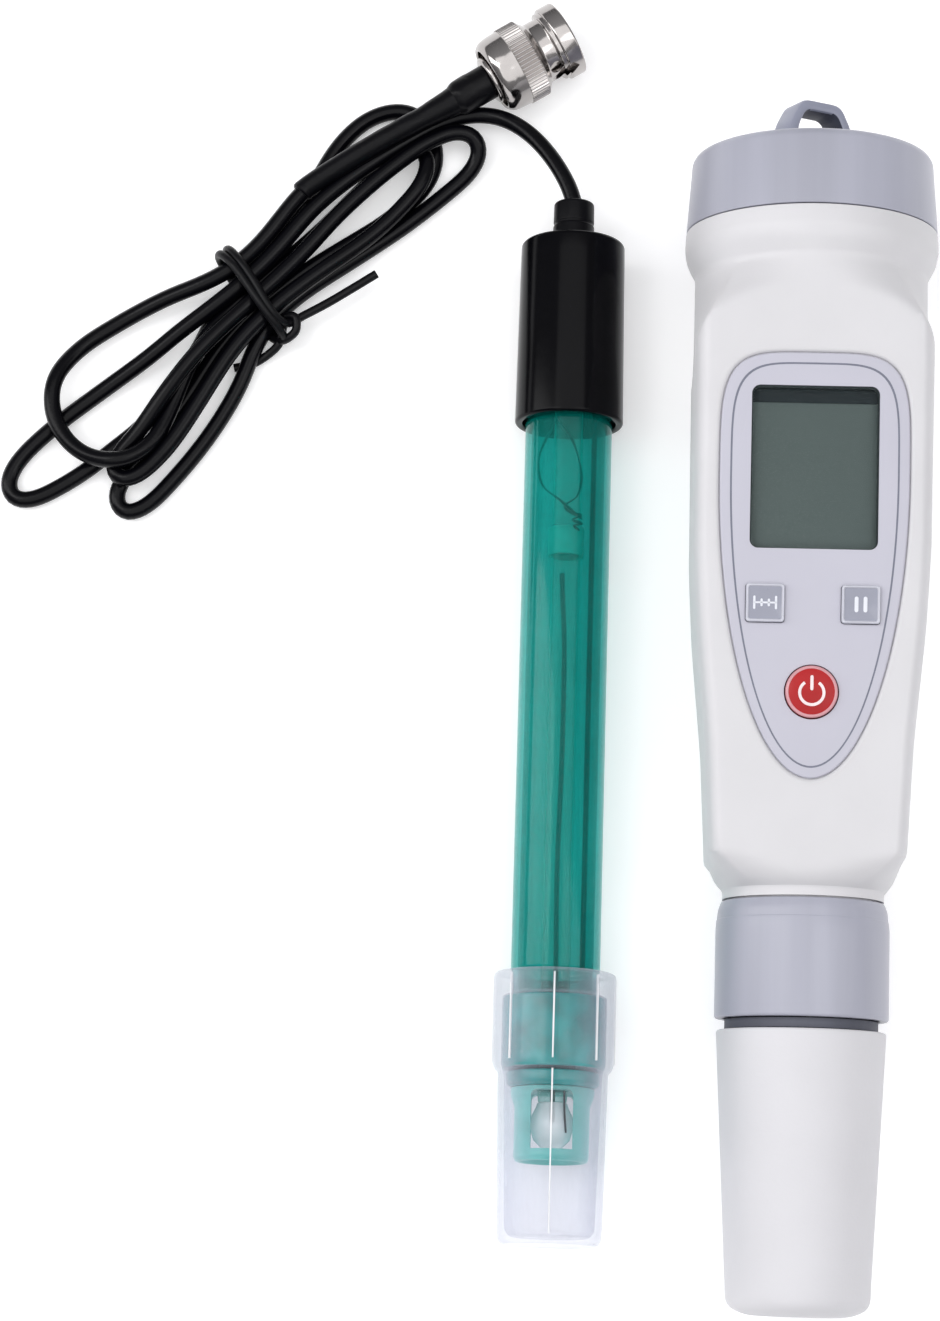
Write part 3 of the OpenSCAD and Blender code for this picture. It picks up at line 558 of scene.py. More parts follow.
def evenly(path, step):
    """The path again, with its points about `step` apart."""
    way = np.r_[0, np.cumsum(np.linalg.norm(np.diff(path, axis=0), axis=1))]
    even = np.linspace(0, way[-1], int(way[-1] / step))
    return np.stack([np.interp(even, way, path[:, k]) for k in range(3)], 1)


def cable_line():
    """The cable's centreline: the route straightened a little, mostly at the tie, and settled."""
    path = evenly(smooth_path(ROUTE, 1.6), 1.7)
    for _ in range(60):
        near_tie = np.exp(-(((path[1:-1, :2] - TIE) ** 2).sum(1) / 110))
        path[1:-1] += (0.015 + 0.4 * near_tie)[:, None] * (0.5 * (path[:-2] + path[2:])
                                                           - path[1:-1])
    return smooth_path(settle(path, CABLE_D), 0.9)


line = cable_line()
curve = bpy.data.curves.new("cable", "CURVE")
curve.dimensions = "3D"
curve.bevel_depth = CABLE_D / 2 * MM
curve.bevel_resolution = 5
curve.use_fill_caps = True
spline = curve.splines.new("POLY")
spline.points.add(len(line) - 1)
for point, (x, y, z) in zip(spline.points, line):
    point.co = (x * MM, y * MM, z * MM, 1)
cable = linked("cable", curve)
curve.materials.append(LOOKS["cable"])
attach(cable, "electrode")
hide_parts("cable_lead", "cable_hank", "cable_tail")

# The heat-shrink sleeve over the tail, from its end on the cable to the plug's ferrule
SLEEVE = [(-71.6, 87.6, 5.75), (-70.9, 88.4, 5.8), (-63.1, 93.8, 6.4), (-55.1, 98.7, 7.0),
          (-50.2, 101.6, 7.0), (PLUG_AT[0] + 0.6, PLUG_AT[1] + 0.37, 6.95)]


def sleeve_size(u):
    """The sleeve's radius at a share u of its way: a lip, a fold, and wider at the plug."""
    lip = 0.12 * math.exp(-((u - 0.015) / 0.02) ** 2)
    fold = 0.05 * math.sin(37 * u + 1.1) * math.exp(-((u - 0.72) / 0.2) ** 2)
    grow = 0.65 * max(0.0, (u - 0.72) / 0.28) ** 1.6
    return (1.5 + 0.3 * min(1.0, u / 0.02)) + lip + fold + 0.14 * u + grow


sleeve = add("cable_sleeve", *sweep(smooth_path(SLEEVE, 0.5), sleeve_size, 28), TABLE,
             "electrode", "sleeve", replaces=["cable_sleeve"])

# The wire tie: two wraps round the bundle, a knot and two ends
TIE_ROUTE = [
    (-58.4, 74.2, 3.6), (-62, 71.8, 3.6), (-66.5, 68.8, 3.8), (-70.4, 66.4, 4.2),
    (-72.8, 64.8, 4.9), (-74.3, 64.9, 6.4), (-76.0, 66.6, 8.0), (-78.6, 70.8, 8.4),
    (-81.4, 74.8, 8.0), (-83.3, 77.1, 6.2), (-84.0, 77.6, 3.6), (-83.0, 75.8, 1.3),
    (-80.0, 71.4, 1.0), (-77.2, 67.0, 1.0), (-75.0, 64.0, 1.4), (-73.6, 62.6, 3.4),
    (-74.3, 63.4, 5.8), (-76.8, 66.2, 8.2), (-79.8, 70.4, 8.5), (-82.6, 74.2, 8.1),
    (-84.7, 76.3, 6.2), (-85.2, 76.4, 3.6), (-84.0, 74.6, 1.3), (-81.0, 70.2, 1.0),
    (-78.2, 66.0, 1.0), (-75.6, 63.0, 1.7), (-73.6, 62.2, 3.6), (-71.6, 63.6, 4.8),
    (-71.8, 65.8, 5.2), (-73.4, 66.0, 4.4), (-74.0, 64.0, 3.4), (-74.6, 61.8, 2.6),
    (-76.4, 60.2, 1.6), (-79.2, 58.6, 1.0), (-82.2, 57.9, 0.95)]
tie = add("cable_tie", *sweep(smooth_path(TIE_ROUTE, 0.5), lambda u: 0.74, 14, 1.0), TABLE,
          "electrode", "tie", replaces=["cable_tie"])

# ---- The plug ----


RIDGES, RIDGE_DEPTH = 62, 0.3


def knurl(a, r, z):
    """The coupling's ridges, on its widest part."""
    if r < 6.8 or not 11.7 <= z <= 15.1:
        return r
    return r - RIDGE_DEPTH * (0.5 - 0.5 * math.cos(RIDGES * a)) ** 1.6


def boot_wave(a, r, z):
    return r * (1 + 0.012 * math.sin(3 * a + z) + 0.008 * math.sin(7 * a - 2 * z))


boot = turned("plug_boot", [(0, -0.4), (2.1, -0.4), (2.5, -0.1), (3.0, 0.9), (3.06, 3.5),
                            (3.05, 6.6), (2.85, 6.75), (0, 6.75)], PLUG, "electrode", "sleeve",
              0.5, wave=boot_wave, replaces=["plug_boot"])
turned("plug_ferrule", [(0, 6.7), (3.8, 6.7), (4.2, 6.95), (4.2, 7.9), (3.75, 7.95),
                        (3.75, 8.4), (4.1, 8.5), (4.1, 9.1), (3.4, 9.2), (3.4, 10), (0, 10)],
       PLUG, "electrode", "nickel", 0.22)
turned("plug_shell", [(1.2, 9.4), (4.05, 9.4), (4.1, 10), (4.1, 12.9), (3.95, 13.2),
                      (3.95, 21.4), (3.3, 21.4), (3.3, 12.6), (1.2, 12.6)],
       PLUG, "electrode", "nickel", 0.15, replaces=["plug_body"])
coupling = turned("plug_coupling", [
    (4.25, 9.5), (5.2, 9.4), (5.2, 7.6), (5.7, 7.45, 0.2), (6.45, 8.2, 0.8), (6.72, 9.7, 0.9),
    (6.78, 11.65, 0.03), (6.95, 11.72, 0.03), (6.95, 12.4, 0), (6.95, 13.2, 0), (6.95, 14.2, 0),
    (6.95, 15.08, 0.03), (6.75, 15.12, 0.03),
    (6.6, 15.3), (5.6, 16.2), (5.42, 16.5), (5.4, 18.5), (5.5, 18.7), (6.0, 18.75),
    (6.15, 18.9, 0.05), (6.15, 19.5, 0.05), (6.45, 19.55), (6.6, 19.75), (6.6, 22.15),
    (6.42, 22.4), (5.1, 22.4), (4.92, 22.1), (4.92, 12.95), (4.25, 12.95)],
    PLUG, "plug_coupling", "nickel", 0.14, steps=496, wave=knurl, replaces=["plug_coupling"],
    sharp=38)
# Two bayonet slots, each with a round hole at its end
holes = []
for turn in (60, 240):
    hole = PLUG @ place(0, 0, 0, ("Z", turn)) @ place(3, 0, 17.6, ("Y", 90))
    holes.append(cutter(*lathe([(0, 0), (1.15, 0), (1.15, 8), (0, 8)], 32), hole))
    ramp_at = PLUG @ place(0, 0, 0, ("Z", turn + 14)) @ place(4.4, 0, 19.2, ("X", 38))
    holes.append(cutter(*slab(rounded_rect(5, 1.7, 0.5), -2.9, 2.0, 0.3), ramp_at))
cut(coupling, holes, 38)

# ---- The electrode ----
turned("electrode_cap", [
    (7.75, 135), (8.7, 135), (9, 135.35), (8.84, 150), (8.71, 163), (8.67, 165.95, 0.4),
    (8.3, 166.4, 0.4), (2.3, 166.4, 0), (2.3, 156), (6, 156), (6, 150), (6.95, 150),
    (6.95, 137), (7.55, 136.4)], ELECTRODE, "electrode", "gloss_black", 0.35, steps=128,
    replaces=["electrode_cap"])
turned("strain_relief", [(0, 158), (2.2, 158), (2.2, 166.4, 0), (3.75, 166.42), (3.5, 166.8),
                         (3.45, 169.6), (3.3, 169.75, 0.08), (3.3, 170.1, 0.08), (3.42, 170.25),
                         (3.38, 173.5), (3.1, 173.8), (1.45, 173.8), (1.4, 173.4),
                         (0, 173.4)], ELECTRODE, "electrode", "gland", 0.3, steps=72,
       replaces=["strain_relief"])
turned("electrode_tube", [
    (2.5, 27.4), (6.95, 27.4), (6.95, 43.4),
    (7.2, 43.7), (7.2, 134.9), (6.95, 135.1), (6.95, 149.9), (6.1, 149.9), (6.1, 29.4),
    (2.5, 29.3)], ELECTRODE, "electrode", "tube", 0.2, steps=96,
    replaces=["electrode_tube"])
guard = turned("guard", [
    (4.9, 13.1), (5.6, 13.1), (6, 13.7), (6, 21.9), (6.6, 23.4), (6.7, 24.8),
    (2.6, 24.8), (2.6, 24.5), (4.7, 24.2), (4.9, 23)], ELECTRODE, "electrode", "guard", 0.3,
    steps=96, slot="tube")
turned("guard_collar", [(2.6, 24.85), (6.75, 24.85), (7.45, 25.5), (7.5, 27.3), (2.6, 27.35)],
       ELECTRODE, "electrode", "seal", 0.3, steps=96, slot="tube")
TRACES = {
    "sealant_left": [(-1.8, 134.6), (-3.6, 131.4), (-4.8, 128.2), (-4.1, 123.6), (-1.1, 120.6),
                     (1.7, 118.3)],
    "sealant_right": [(-1.8, 134.2), (0.5, 131.2), (2.3, 125.2), (1.7, 121.4), (-0.3, 119.5),
                      (2.6, 117.6)],
    "wire_knot": [(0.8, 118.5), (2.4, 118.2), (1.0, 117.3), (2.7, 116.8), (1.3, 116.3),
                  (2.2, 115.6)],
}
for name, line_points in TRACES.items():
    way = smooth_path([(x, -math.sqrt(5.7 ** 2 - x * x), z) for x, z in line_points], 0.5)
    add(name, *sweep(way, lambda u: 0.13 + 0.12 * math.sin(9 * u) ** 2, 8), ELECTRODE,
        "electrode", "trace", slot="dark_wire")
cut(guard, [cutter(*slab(rounded_rect(6.7, 22, 1.2), 14.9, 24.2, 0.9), ELECTRODE)])
turned("inner_glass", [(0, 22.6), (2.3, 22.6), (2.4, 24), (2.4, 149.8), (0, 149.8)], ELECTRODE,
       "electrode", "inner_glass", 0.3, steps=48, replaces=["inner_glass"])
turned("glass_bulb", [(0, 14.9), (1.6, 15.3, 0), (2.9, 16.6, 0), (3.5, 18.6, 0), (3.3, 20.4, 0),
                      (2.5, 22.0), (2.4, 22.55), (0, 22.55)], ELECTRODE, "electrode", "bulb", 0.5,
       steps=48, slot="clear_glass")
add("bulb_wire", *sweep(smooth_path([(2.3, -3.1, 17.6), (2.0, -3.2, 21), (1.9, -2.9, 24.6)], 0.6),
                        lambda u: 0.17, 8), ELECTRODE, "electrode", "dark_wire", slot="wire")
turned("inner_plug", [(2.42, 112.4), (2.95, 112.4), (2.95, 117.2), (2.42, 117.2)], ELECTRODE,
       "electrode", "potting", 0.3, steps=48, replaces=["inner_plug"])
add("measuring_wire", *sweep(smooth_path([
    (0.0, -0.4, 19.5), (0.1, -0.1, 40), (-0.15, 0, 60), (0.2, 0, 80), (0.1, -0.3, 98),
    (-0.35, -0.4, 106), (-0.5, -0.2, 109.5)], 1.5), lambda u: 0.42, 10), ELECTRODE,
    "electrode", "dark_wire", slot="wire", replaces=["measuring_wire"])
turned("cap_potting", [(2.45, 139.2), (4.2, 138.2), (6.0, 140.2), (6.0, 149.8), (2.45, 149.8)],
       ELECTRODE, "electrode", "filler", 0.8, steps=64,
       slot="potting", replaces=["cap_potting"])

# ---- The storage bottle ----
turned("storage_bottle", [
    (0, 0), (7.6, 0, 0.8), (8.3, 0.8, 0.8), (8.4, 3), (8.85, 27.3), (9.5, 27.9),
    (9.72, 29), (9.9, 42.4), (9.7, 43.2), (7.6, 43.2), (7.15, 42.8), (7.15, 39.8), (8.45, 39.5),
    (8.4, 28.6), (7.9, 27.0), (7.2, 2.4), (6.4, 1.3), (0, 1.15)],
    ELECTRODE, "storage_bottle", "bottle", 0.5, steps=128, replaces=["storage_bottle"], sharp=30)
# Eight raised ribs round the collar; their near-white colour is a painted highlight along them
for k in range(8):
    add(f"bottle_rib{k}", *slab([(-0.13, 28.8), (0.13, 28.8), (0.15, 42.4), (-0.15, 42.4)], 9.55,
                                9.88, 0.08), ELECTRODE @ place(0, 0, 0, ("Z", 45 * k), ("X", 90)),
        "storage_bottle", "rib", slot="bottle")
# A thin near-white strip down the bottle's upper side: a painted highlight standing in for a soft
# light's reflection
add("bottle_painted_highlight", *slab([(-0.1, 1.6), (0.1, 1.6), (0.14, 27.4), (-0.14, 27.4)], 8.1, 8.42, 0.05),
    ELECTRODE @ place(0, 0, 0, ("X", 91.06)), "storage_bottle", "rib", slot="bottle")
turned("bottle_seal", [(7.02, 27.8), (8.25, 27.8), (8.38, 29), (8.38, 39.3), (7.02, 39.3)],
       ELECTRODE, "storage_bottle", "seal", 0.3, steps=96,
       wave=lambda a, r, z: r - (0.05 if r > 8 else 0) * (1 + math.sin(5 * a + z)),
       replaces=["bottle_seal"])

# ---- The meter's caps and collar ----
turned("battery_cap", [
    (14.7, 175.2), (16.2, 175.0), (20.45, 174.74, 0.08), (20.55, 174.9, 0.1), (19.75, 186.4),
    (19.3, 187.2), (18.6, 187.55), (9, 187.6), (0, 187.6), (0, 185.6), (14.7, 185.6)],
    METER, "battery_cap", "grey_cap", 0.35, steps=160)
turned("battery_cap_skirt", [(14.75, 167), (16.2, 167), (16.5, 167.4), (16.5, 169.7),
                             (15.45, 169.7), (15.45, 171.3), (16.5, 171.3), (16.5, 175.1),
                             (14.75, 175.1)],
       METER, "battery_cap", "grey_cap", 0.12, steps=128, replaces=["battery_cap"])
LOOP_DEEP = 5.4
LOOP = METER @ place(0, 0, 0, ("Z", 30)) @ place(0, LOOP_DEEP / 2, 187.45, ("X", 90))
outer = soften([(-6.2, 0, 0), (6.2, 0, 0), (6.2, 5.2, 1.6), (3.8, 9.6, 1.6), (-3.8, 9.6, 1.6),
                (-6.2, 5.2, 1.6)], 1.2, True, 5)
inner = soften([(-4.4, 0, 0), (4.4, 0, 0), (4.4, 4.9, 1.2), (2.9, 7.9, 1.2), (-2.9, 7.9, 1.2),
                (-4.4, 4.9, 1.2)], 1, True, 5)


def loop_mesh():
    """The loop's arch: its inside and outside outlines, with eased edges on both faces."""
    verts, faces = [], []
    n, e, d = len(outer), 0.55, LOOP_DEEP
    ease = [(outer, 0, e), (outer, 0, d - e), (outer, e * 0.3, d - e * 0.3), (outer, e, d),
            (inner, -e, d), (inner, -e * 0.3, d - e * 0.3), (inner, 0, d - e), (inner, 0, e),
            (inner, -e * 0.3, e * 0.3), (inner, -e, 0), (outer, e, 0), (outer, e * 0.3, e * 0.3)]
    for outline, inset, z in ease:
        moved = offset(outline, inset)
        moved[:2, 1] = 0
        verts += [(x, max(0, y), z) for x, y in moved]
    for i in range(len(ease)):
        a, b = i * n, (i + 1) % len(ease) * n
        for k in range(1, n):
            j = (k + 1) % n
            faces.append((a + k, a + j, b + j, b + k))
    faces.append(tuple(i * n for i in range(len(ease) - 1, -1, -1)))
    faces.append(tuple(i * n + 1 for i in range(len(ease))))
    return verts, faces


loop = add("lanyard_loop", *loop_mesh(), LOOP, "battery_cap", "loop", slot="grey_cap",
           replaces=["lanyard_loop"])
# The inner faces of the loop's opening take the darker material: painted shade for the shadow
# inside the opening
loop.data.materials.append(LOOKS["loop_painted_shade"])
for face in loop.data.polygons:
    x, y, z = LOOP.inverted() @ face.center
    if abs(x) < 4.45 and y < 7.95 and 0.3 < z < LOOP_DEEP - 0.3:
        face.material_index = 1
turned("lock_collar", [
    (12.45, 46.3), (13.6, 46.3), (13.85, 46.6), (13.85, 60.5, 1), (13.72, 61.9, 0.2),
    (13.66, 62.0, 0.1), (13.5, 63.6, 0.8), (13.0, 64.9, 0.5), (12.45, 65)], METER,
    "lock_collar", "grey_cap", 0.2, steps=128,
    replaces=["lock_collar"])
turned("protective_cap", [
    (0, 0), (8.2, 0, 1.5), (11.36, 1.4, 3.2), (11.5, 5), (13.5, 44.1, 0.4), (13.3, 44.5),
    (12.25, 44.5), (10.3, 3.8), (9.2, 1.9), (0, 1.8)], METER, "protective_cap", "cap_white",
    0.5, steps=128, slot="shell", replaces=["protective_cap"])

# ---- The meter's housing ----
BODY = "meter_body"


def half_width(z):
    """Half the body's width at a level: a waist that widens to straight sides."""
    return float(np.interp(z, [66, 71.5, 90, 107.7, 120, 150, 165],
                           [13.0, 15.6, 16.5, 18.2, 18.85, 19, 19]))


def face_depth(z):
    """How far the flat face is from the axis at a level."""
    return FACE_DEPTH + (z - FACE_LEVEL) * math.tan(math.radians(FACE_SLOPE))


N_FLAT, N_CORNER, N_SIDE = 25, 9, 17  # points along the face, a corner and a side
CORNER_W, CORNER_D = 2.2, 4.6  # a corner's size across and deep


def body_ring(z, margin=0.0, w=None, f=None, t=0.0, round_r=19.0):
    """One level of the body: a box with a flat face and eased corners, blended to a circle by t.
    t may be a function of the point on the box."""
    w = (half_width(z) if w is None else w) - margin
    f = (face_depth(z) if f is None else f) - margin
    cx, cy = min(CORNER_W, w * 0.8), min(CORNER_D, f * 0.8)
    quarter = []
    half_flat, half_side = N_FLAT // 2, N_SIDE // 2
    for k in range(half_flat + 1):
        quarter.append(((w - cx) * k / half_flat, -f))
    for k in range(1, N_CORNER + 1):
        a = math.pi / 2 * k / (N_CORNER + 1)
        quarter.append((w - cx + cx * math.sin(a), -(f - cy) - cy * math.cos(a)))
    for k in range(half_side + 1):
        quarter.append((w, -(f - cy) * (1 - k / half_side)))
    half = quarter + [(x, -y) for x, y in reversed(quarter[:-1])]
    out = []
    for x, y in half + [(-x, y) for x, y in reversed(half[1:-1])]:
        share = t(x, y) if callable(t) else t
        a = math.atan2(y, x)
        out.append((x + (round_r * math.cos(a) - x) * share,
                    y + (round_r * math.sin(a) - y) * share, z))
    return out


def arch(z):
    """How far each column has turned round at level z: the flat face ends in an arch."""
    def share(x, y):
        start = 151.5 + (10.5 * math.sqrt(max(0.0, 1 - (x / 19.2) ** 2)) if y < 0 else 0)
        u = min(1.0, max(0.0, (z - start) / (166.2 - start)))
        return 1.6 * u ** 1.4 / (1 + 0.6 * u ** 2)
    return share


def housing_mesh():
    """The housing's levels: its lower end and waist, the flat-faced body, the round shoulder
    under the battery cap, then its bore from the top back to the lower end."""
    box = body_ring(70)
    angles = [math.atan2(y, x) for x, y, _ in box]
    rings = [[(12.9 * math.cos(a), 12.9 * math.sin(a), z) for a in angles] for z in (65.2, 66.3)]
    for z, t, r in ((66.45, 1, 12.95), (66.7, 1, 13.05), (67.3, 0.88, 13.6), (68.3, 0.66, 14.4),
                    (69.5, 0.40, 15.1), (70.8, 0.16, 15.8), (71.6, 0.04, 16)):
        rings.append(body_ring(z, t=t, round_r=r, f=face_depth(72) - 0.06 * (72 - z),
                               w=float(np.interp(z, [66.4, 71.6], [13.2, 15.55]))))
    for z in np.r_[72.4, 74, 77, 81:150:4.0]:
        rings.append(body_ring(z))
    for z in np.arange(150, 166.3, 0.6):
        rings.append(body_ring(z, t=arch(z)))
    circle = [math.atan2(y, x) for x, y, _ in body_ring(166.2, t=1)]

    def round_ring(r, z):
        return [(r * math.cos(a), r * math.sin(a), z) for a in circle]

    shoulder = [(19, 166.2), (19.05, 167.2, 1.2), (20.3, 169.6, 1.4), (20.72, 171.4, 1.2),
                (20.68, 172.9), (20.6, 174.5, 0.1), (20.2, 174.62)]
    mouth = [(18.8, 174.6), (17.2, 174.6), (17.0, 174.4), (17.0, 160), (17.0, 150)]
    rings += [round_ring(r, z) for r, z in soften(shoulder, 1, steps=6)[1:] + mouth]
    for z in (148, 140, 125, 110, 95, 80, 74):
        rings.append(body_ring(z, 2.0, t=0.5 if z > 147 else 0, round_r=17))
    rings += [round_ring(r, z) for r, z in ((10.2, 73.2), (10.2, 51), (12.1, 51), (12.1, 65.2))]
    return [v for ring in rings for v in ring], ring_faces(len(rings), len(box))


housing = add("housing", *housing_mesh(), METER, BODY, "shell", replaces=["housing"], sharp=26)

PANEL_MID = 131


def panel_outline(inset, n=144):
    """The panel's outline moved inwards: a half ellipse below, a rounded box above."""
    half = 15.1 - inset
    pts = []
    for k in range(n):
        a = 2 * math.pi * k / n
        c, s = math.cos(a), math.sin(a)
        if s < 0:
            pts.append((half * c, PANEL_MID + (47.9 - inset) * s))
        else:
            pts.append((half * math.copysign(abs(c) ** 0.444, c),
                        PANEL_MID + (20 - inset) * max(0, s) ** 0.444))
    p = np.array(pts + pts[:1])
    way = np.r_[0, np.cumsum(np.linalg.norm(np.diff(p, axis=0), axis=1))]
    even = np.linspace(0, way[-1], 200, endpoint=False)
    return [(float(np.interp(s, way, p[:, 0])), float(np.interp(s, way, p[:, 1]))) for s in even]


EASE = 0.7  # the width of the recess's eased edge
wide = offset(panel_outline(0), -EASE)
WINDOW_V, WINDOW_W, WINDOW_H = 132.5, 20.1, 26
KEY_V, KEY_X, KEY_SIDE = 110.7, 7.5, 6.1
POWER_V, POWER_R = 96.8, 4.15


def panel_holes(gap, low):
    """Cutters for the window and the three keys, with a gap all round."""
    found = [slab(rounded_rect(WINDOW_W + 2 * gap, WINDOW_H + 2 * gap, 1.3 + gap, 8, 0, WINDOW_V),
                  low, 2, 0.01)]
    for side in (-1, 1):
        found.append(slab(rounded_rect(KEY_SIDE + 0.1 + gap, KEY_SIDE + 0.1 + gap, 0.6, 4,
                                       side * KEY_X, KEY_V), low, 2, 0.01))
    r = POWER_R + 0.15 + gap / 2
    verts, faces = lathe([(0, low), (r, low), (r, 2), (0, 2)], 64)
    found.append(([(x, y + POWER_V, z) for x, y, z in verts], faces))
    return [cutter(*shape, FACE) for shape in found]


cut(housing, [cutter(*slab([tuple(p) for p in wide], -0.72, 4, 0.01), FACE)]
    + panel_holes(0.3, -6), 26)


def rim_mesh():
    """The eased edge of the panel's recess, from the face down to the panel."""
    outline = panel_outline(0)
    levels = [(-EASE, 0.0)]
    for a in np.linspace(0, 90, 7)[1:]:
        r = math.radians(a)
        levels.append((-EASE + EASE * math.sin(r), -0.62 * (1 - math.cos(r))))
    levels += [(0, -0.9), (-EASE, -0.9)]
    return levelled(outline, levels), ring_faces(len(levels), len(outline))


add("panel_edge", *rim_mesh(), FACE, BODY, "shell", sharp=40)

# ---- The control panel, its window and keys ----
panel = add("control_panel", *slab(panel_outline(0.12), -0.7, -0.1, 0.3), FACE, BODY, "panel",
            replaces=["control_panel"], sharp=30)
cut(panel, panel_holes(0.05, -3), 30)
add("panel_line", *band(panel_outline(1.75), panel_outline(2.05), -0.2, -0.07, 0.02), FACE, BODY,
    "line", slot="panel")
add("display_lens", *slab(rounded_rect(WINDOW_W - 0.02, WINDOW_H - 0.02, 1.3, 8, 0, WINDOW_V), -0.7,
                          -0.16, 0.06), FACE, BODY, "lens", replaces=["display_lens"])
add("display_glass", *slab(rounded_rect(22, 30, 0.6, 5, 0, WINDOW_V), -4.2, -2.3, 0.15), FACE,
    BODY, "display", replaces=["display_glass"])
add("display_shade", *band(rounded_rect(21.8, 29.6, 1.6, 8, 0, WINDOW_V),
                           rounded_rect(WINDOW_W - 0.3, WINDOW_H - 0.35, 1.2, 8, 0, WINDOW_V - 0.1),
                           -2.28, -0.75, 0.05), FACE, BODY, "shade", slot="inner_black")
# A dark strip across the top of the display: painted shadow cast by the window's upper edge
add("display_painted_shadow", *slab(rounded_rect(19.9, 2.6, 0.3, 4, 0, WINDOW_V + 11.9), -2.3, -2.05, 0.1),
    FACE, BODY, "band", slot="inner_black")


def square_key(name, side, mark):
    """A square key with its rim and its symbol, left (-1) or right (1)."""
    at = FACE @ place(side * KEY_X, KEY_V, 0)
    add(name, *slab(rounded_rect(KEY_SIDE, KEY_SIDE, 0.55, 6), -2.8, 0.55, 0.28), at, name, "key",
        replaces=[name])
    add(name + "_rim", *band(rounded_rect(KEY_SIDE - 0.02, KEY_SIDE - 0.02, 0.5, 6),
                             rounded_rect(KEY_SIDE - 0.95, KEY_SIDE - 0.95, 0.3, 6),
                             0.3, 0.74, 0.16), at, name, "key_rim", slot="key")
    for i, (verts, faces) in enumerate(mark):
        add(f"{name}_mark{i}", verts, faces, at, name, "key_mark", slot="key")


def bar(x0, y0, x1, y1, w=0.36, low=0.5, high=0.6):
    """A raised stroke of a key's symbol."""
    d = np.array([x1 - x0, y1 - y0], float)
    size = np.linalg.norm(d)
    d /= size
    n = np.array([-d[1], d[0]])
    a, b = np.array([x0, y0]), np.array([x1, y1])
    outline = []
    for centre, start in ((b, -90), (a, 90)):
        for k in range(7):
            t = math.radians(start + 30 * k)
            outline.append(tuple(centre + w / 2 * (math.cos(t) * d + math.sin(t) * n)))
    return slab(outline, low, high, 0.04)


def arc_bar(r, start, end, w=0.36, low=0.5, high=0.6, steps=28):
    """A raised arc of a symbol, as a band between two radii."""
    angles = np.radians(np.linspace(start, end, steps))
    outline = [((r + w / 2) * math.cos(a), (r + w / 2) * math.sin(a)) for a in angles]
    outline += [((r - w / 2) * math.cos(a), (r - w / 2) * math.sin(a)) for a in angles[::-1]]
    n = len(outline)
    verts = [(x, y, low) for x, y in outline] + [(x, y, high) for x, y in outline]
    faces = [(k, (k + 1) % n, n + (k + 1) % n, n + k) for k in range(n)]
    for k in range(steps - 1):
        a, b, c, d = k, k + 1, n - 2 - k, n - 1 - k
        faces.append((a, d, c, b))
        faces.append((n + a, n + b, n + c, n + d))
    return verts, faces


square_key("cal_button", -1, [bar(-1.7, -0.9, -1.7, 0.9), bar(-0.57, -0.45, -0.57, 0.45),
                              bar(0.57, -0.45, 0.57, 0.45), bar(1.7, -0.9, 1.7, 0.9),
                              bar(-1.7, 0, 1.7, 0, 0.3)])
square_key("hold_button", 1, [bar(-0.7, -0.95, -0.7, 0.95, 0.62), bar(0.7, -0.95, 0.7, 0.95, 0.62)])
POWER = FACE @ place(0, POWER_V, 0)
turned("power_button", [(0, -2.8), (4.7, -2.8), (4.7, -2.2), (4.13, -2.2), (4.13, 0.2),
                        (3.9, 0.52), (3.0, 0.72, 1), (1.5, 0.84, 0.6), (0, 0.86)],
       POWER, "power_button", "power_key", 0.25, steps=96, replaces=["power_button"])
turned("power_ring", [(3.72, 0.42), (4.05, 0.2), (4.14, 0.34), (4.0, 0.58), (3.72, 0.66),
                      (3.6, 0.58)],
       POWER, "power_button", "power_ring", 0.05, steps=96, slot="power_key")
SYMBOL = POWER @ place(0, -0.2, 0)
add("power_arc", *arc_bar(1.9, -235, 55, 0.46, 0.7, 0.93, 40), SYMBOL, "power_button",
    "power_mark", slot="power_key")
add("power_bar", *bar(0, 0.6, 0, 2.5, 0.5, 0.72, 0.95), SYMBOL, "power_button", "power_mark",
    slot="power_key")

# ---- CAD nodes that stay as they are, with their own finishes ----
KEPT = {
    "cap_o_ring": "black_rubber", "battery_cells": "cell", "battery_holder": "inner_black",
    "battery_contacts": "contact", "battery_leads": "lead_wire", "contact_spring": "contact",
    "circuit_board": "board", "board_components": "component", "key_switches": "component",
    "board_screws": "steel", "chassis": "inner_white", "display_frame": "inner_white",
    "zebra_strips": "elastomer", "sensor_socket": "inner_black", "sensor_ribbon": "ribbon",
    "sensor_body": "inner_black", "sensor_glass": "bulb", "sensor_wire": "wire",
    "sensor_junction": "junction", "temperature_probe": "steel", "sensor_pins": "gold",
    "sensor_o_ring": "black_rubber", "cap_gasket": "gasket",
    "reference_wire": "dark_wire", "reference_junction": "junction", "plug_insulator": "ptfe",
    "plug_pin": "gold", "plug_gasket": "red_rubber", "plug_washer": "steel",
}
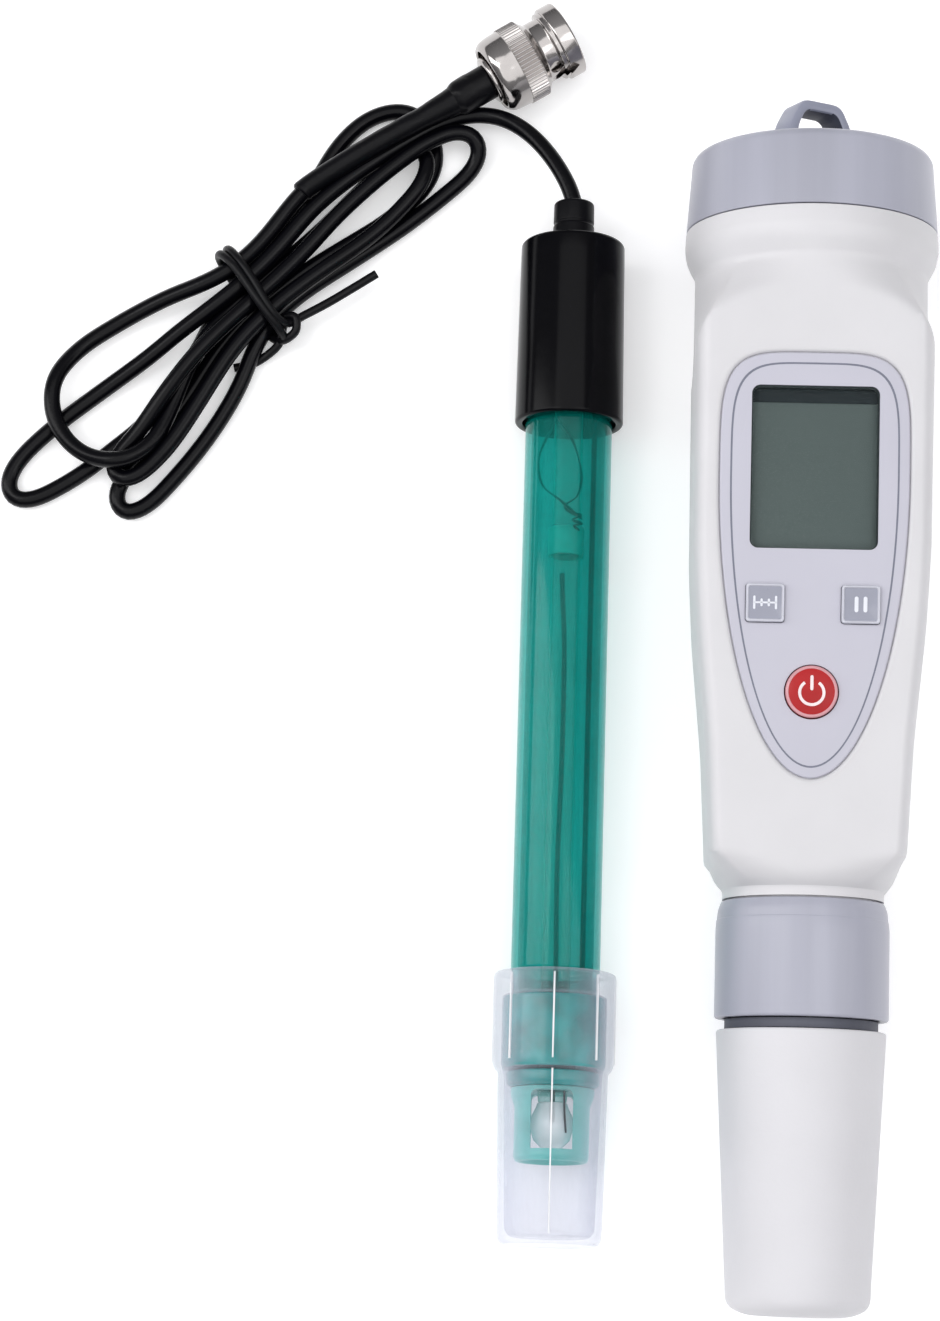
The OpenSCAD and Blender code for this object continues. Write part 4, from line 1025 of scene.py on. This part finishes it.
for node, name in KEPT.items():
    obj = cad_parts[node]
    if not obj.material_slots:
        obj.data.materials.append(LOOKS[name])
    for s in obj.material_slots:
        s.material = LOOKS[name]
    shade(obj.data, 30)

# ---- Floor, light ----
bpy.ops.mesh.primitive_plane_add(size=6, location=(0, 0, -0.00002))
floor = bpy.context.object
floor.name = "floor"
paper = look("paper", (0.9, 0.9, 0.905, 1), 0.9, spec=0.1, grain=(400, 0.01), tone=(8, 0.01))
glow = paper.node_tree.nodes["Principled BSDF"]
glow.inputs["Emission Color"].default_value = (1, 1, 1, 1)
glow.inputs["Emission Strength"].default_value = 0.3
floor.data.materials.append(paper)

# A dim horizon that brightens overhead
world = bpy.data.worlds.new("studio")
bpy.context.scene.world = world
world.use_nodes = True
nodes, links = world.node_tree.nodes, world.node_tree.links
sky = nodes["Background"]
where = nodes.new("ShaderNodeTexCoord")
split = nodes.new("ShaderNodeSeparateXYZ")
fade = nodes.new("ShaderNodeValToRGB")
shift = nodes.new("ShaderNodeMapRange")
shift.inputs["From Min"].default_value = -1
links.new(where.outputs["Generated"], split.inputs["Vector"])
links.new(split.outputs["Z"], shift.inputs["Value"])
links.new(shift.outputs["Result"], fade.inputs["Fac"])
horizon, overhead = fade.color_ramp.elements
horizon.position, overhead.position = 0.5, 0.95
horizon.color = (0.35, 0.35, 0.36, 1)
overhead.color = (0.9, 0.9, 0.92, 1)
links.new(fade.outputs["Color"], sky.inputs["Color"])
sky.inputs["Strength"].default_value = 0.5


def softbox(name, at, size, power):
    """A soft rectangular light, aimed at the origin."""
    lamp = bpy.data.lights.new(name, "AREA")
    lamp.shape = "RECTANGLE"
    lamp.size, lamp.size_y = size
    lamp.energy = power
    obj = linked(name, lamp)
    obj.location = at
    obj.rotation_euler = (Vector((0, 0, 0)) - obj.location).to_track_quat("-Z", "Y").to_euler()


softbox("over", (0.0, -0.15, 0.95), (1.2, 1.4), 6.6)
softbox("key", (-0.65, 0.1, 0.55), (0.3, 1.0), 3.4)
softbox("fill", (0.6, -0.05, 0.7), (0.25, 1.0), 1.5)
bpy.context.scene.view_settings.view_transform = "Standard"
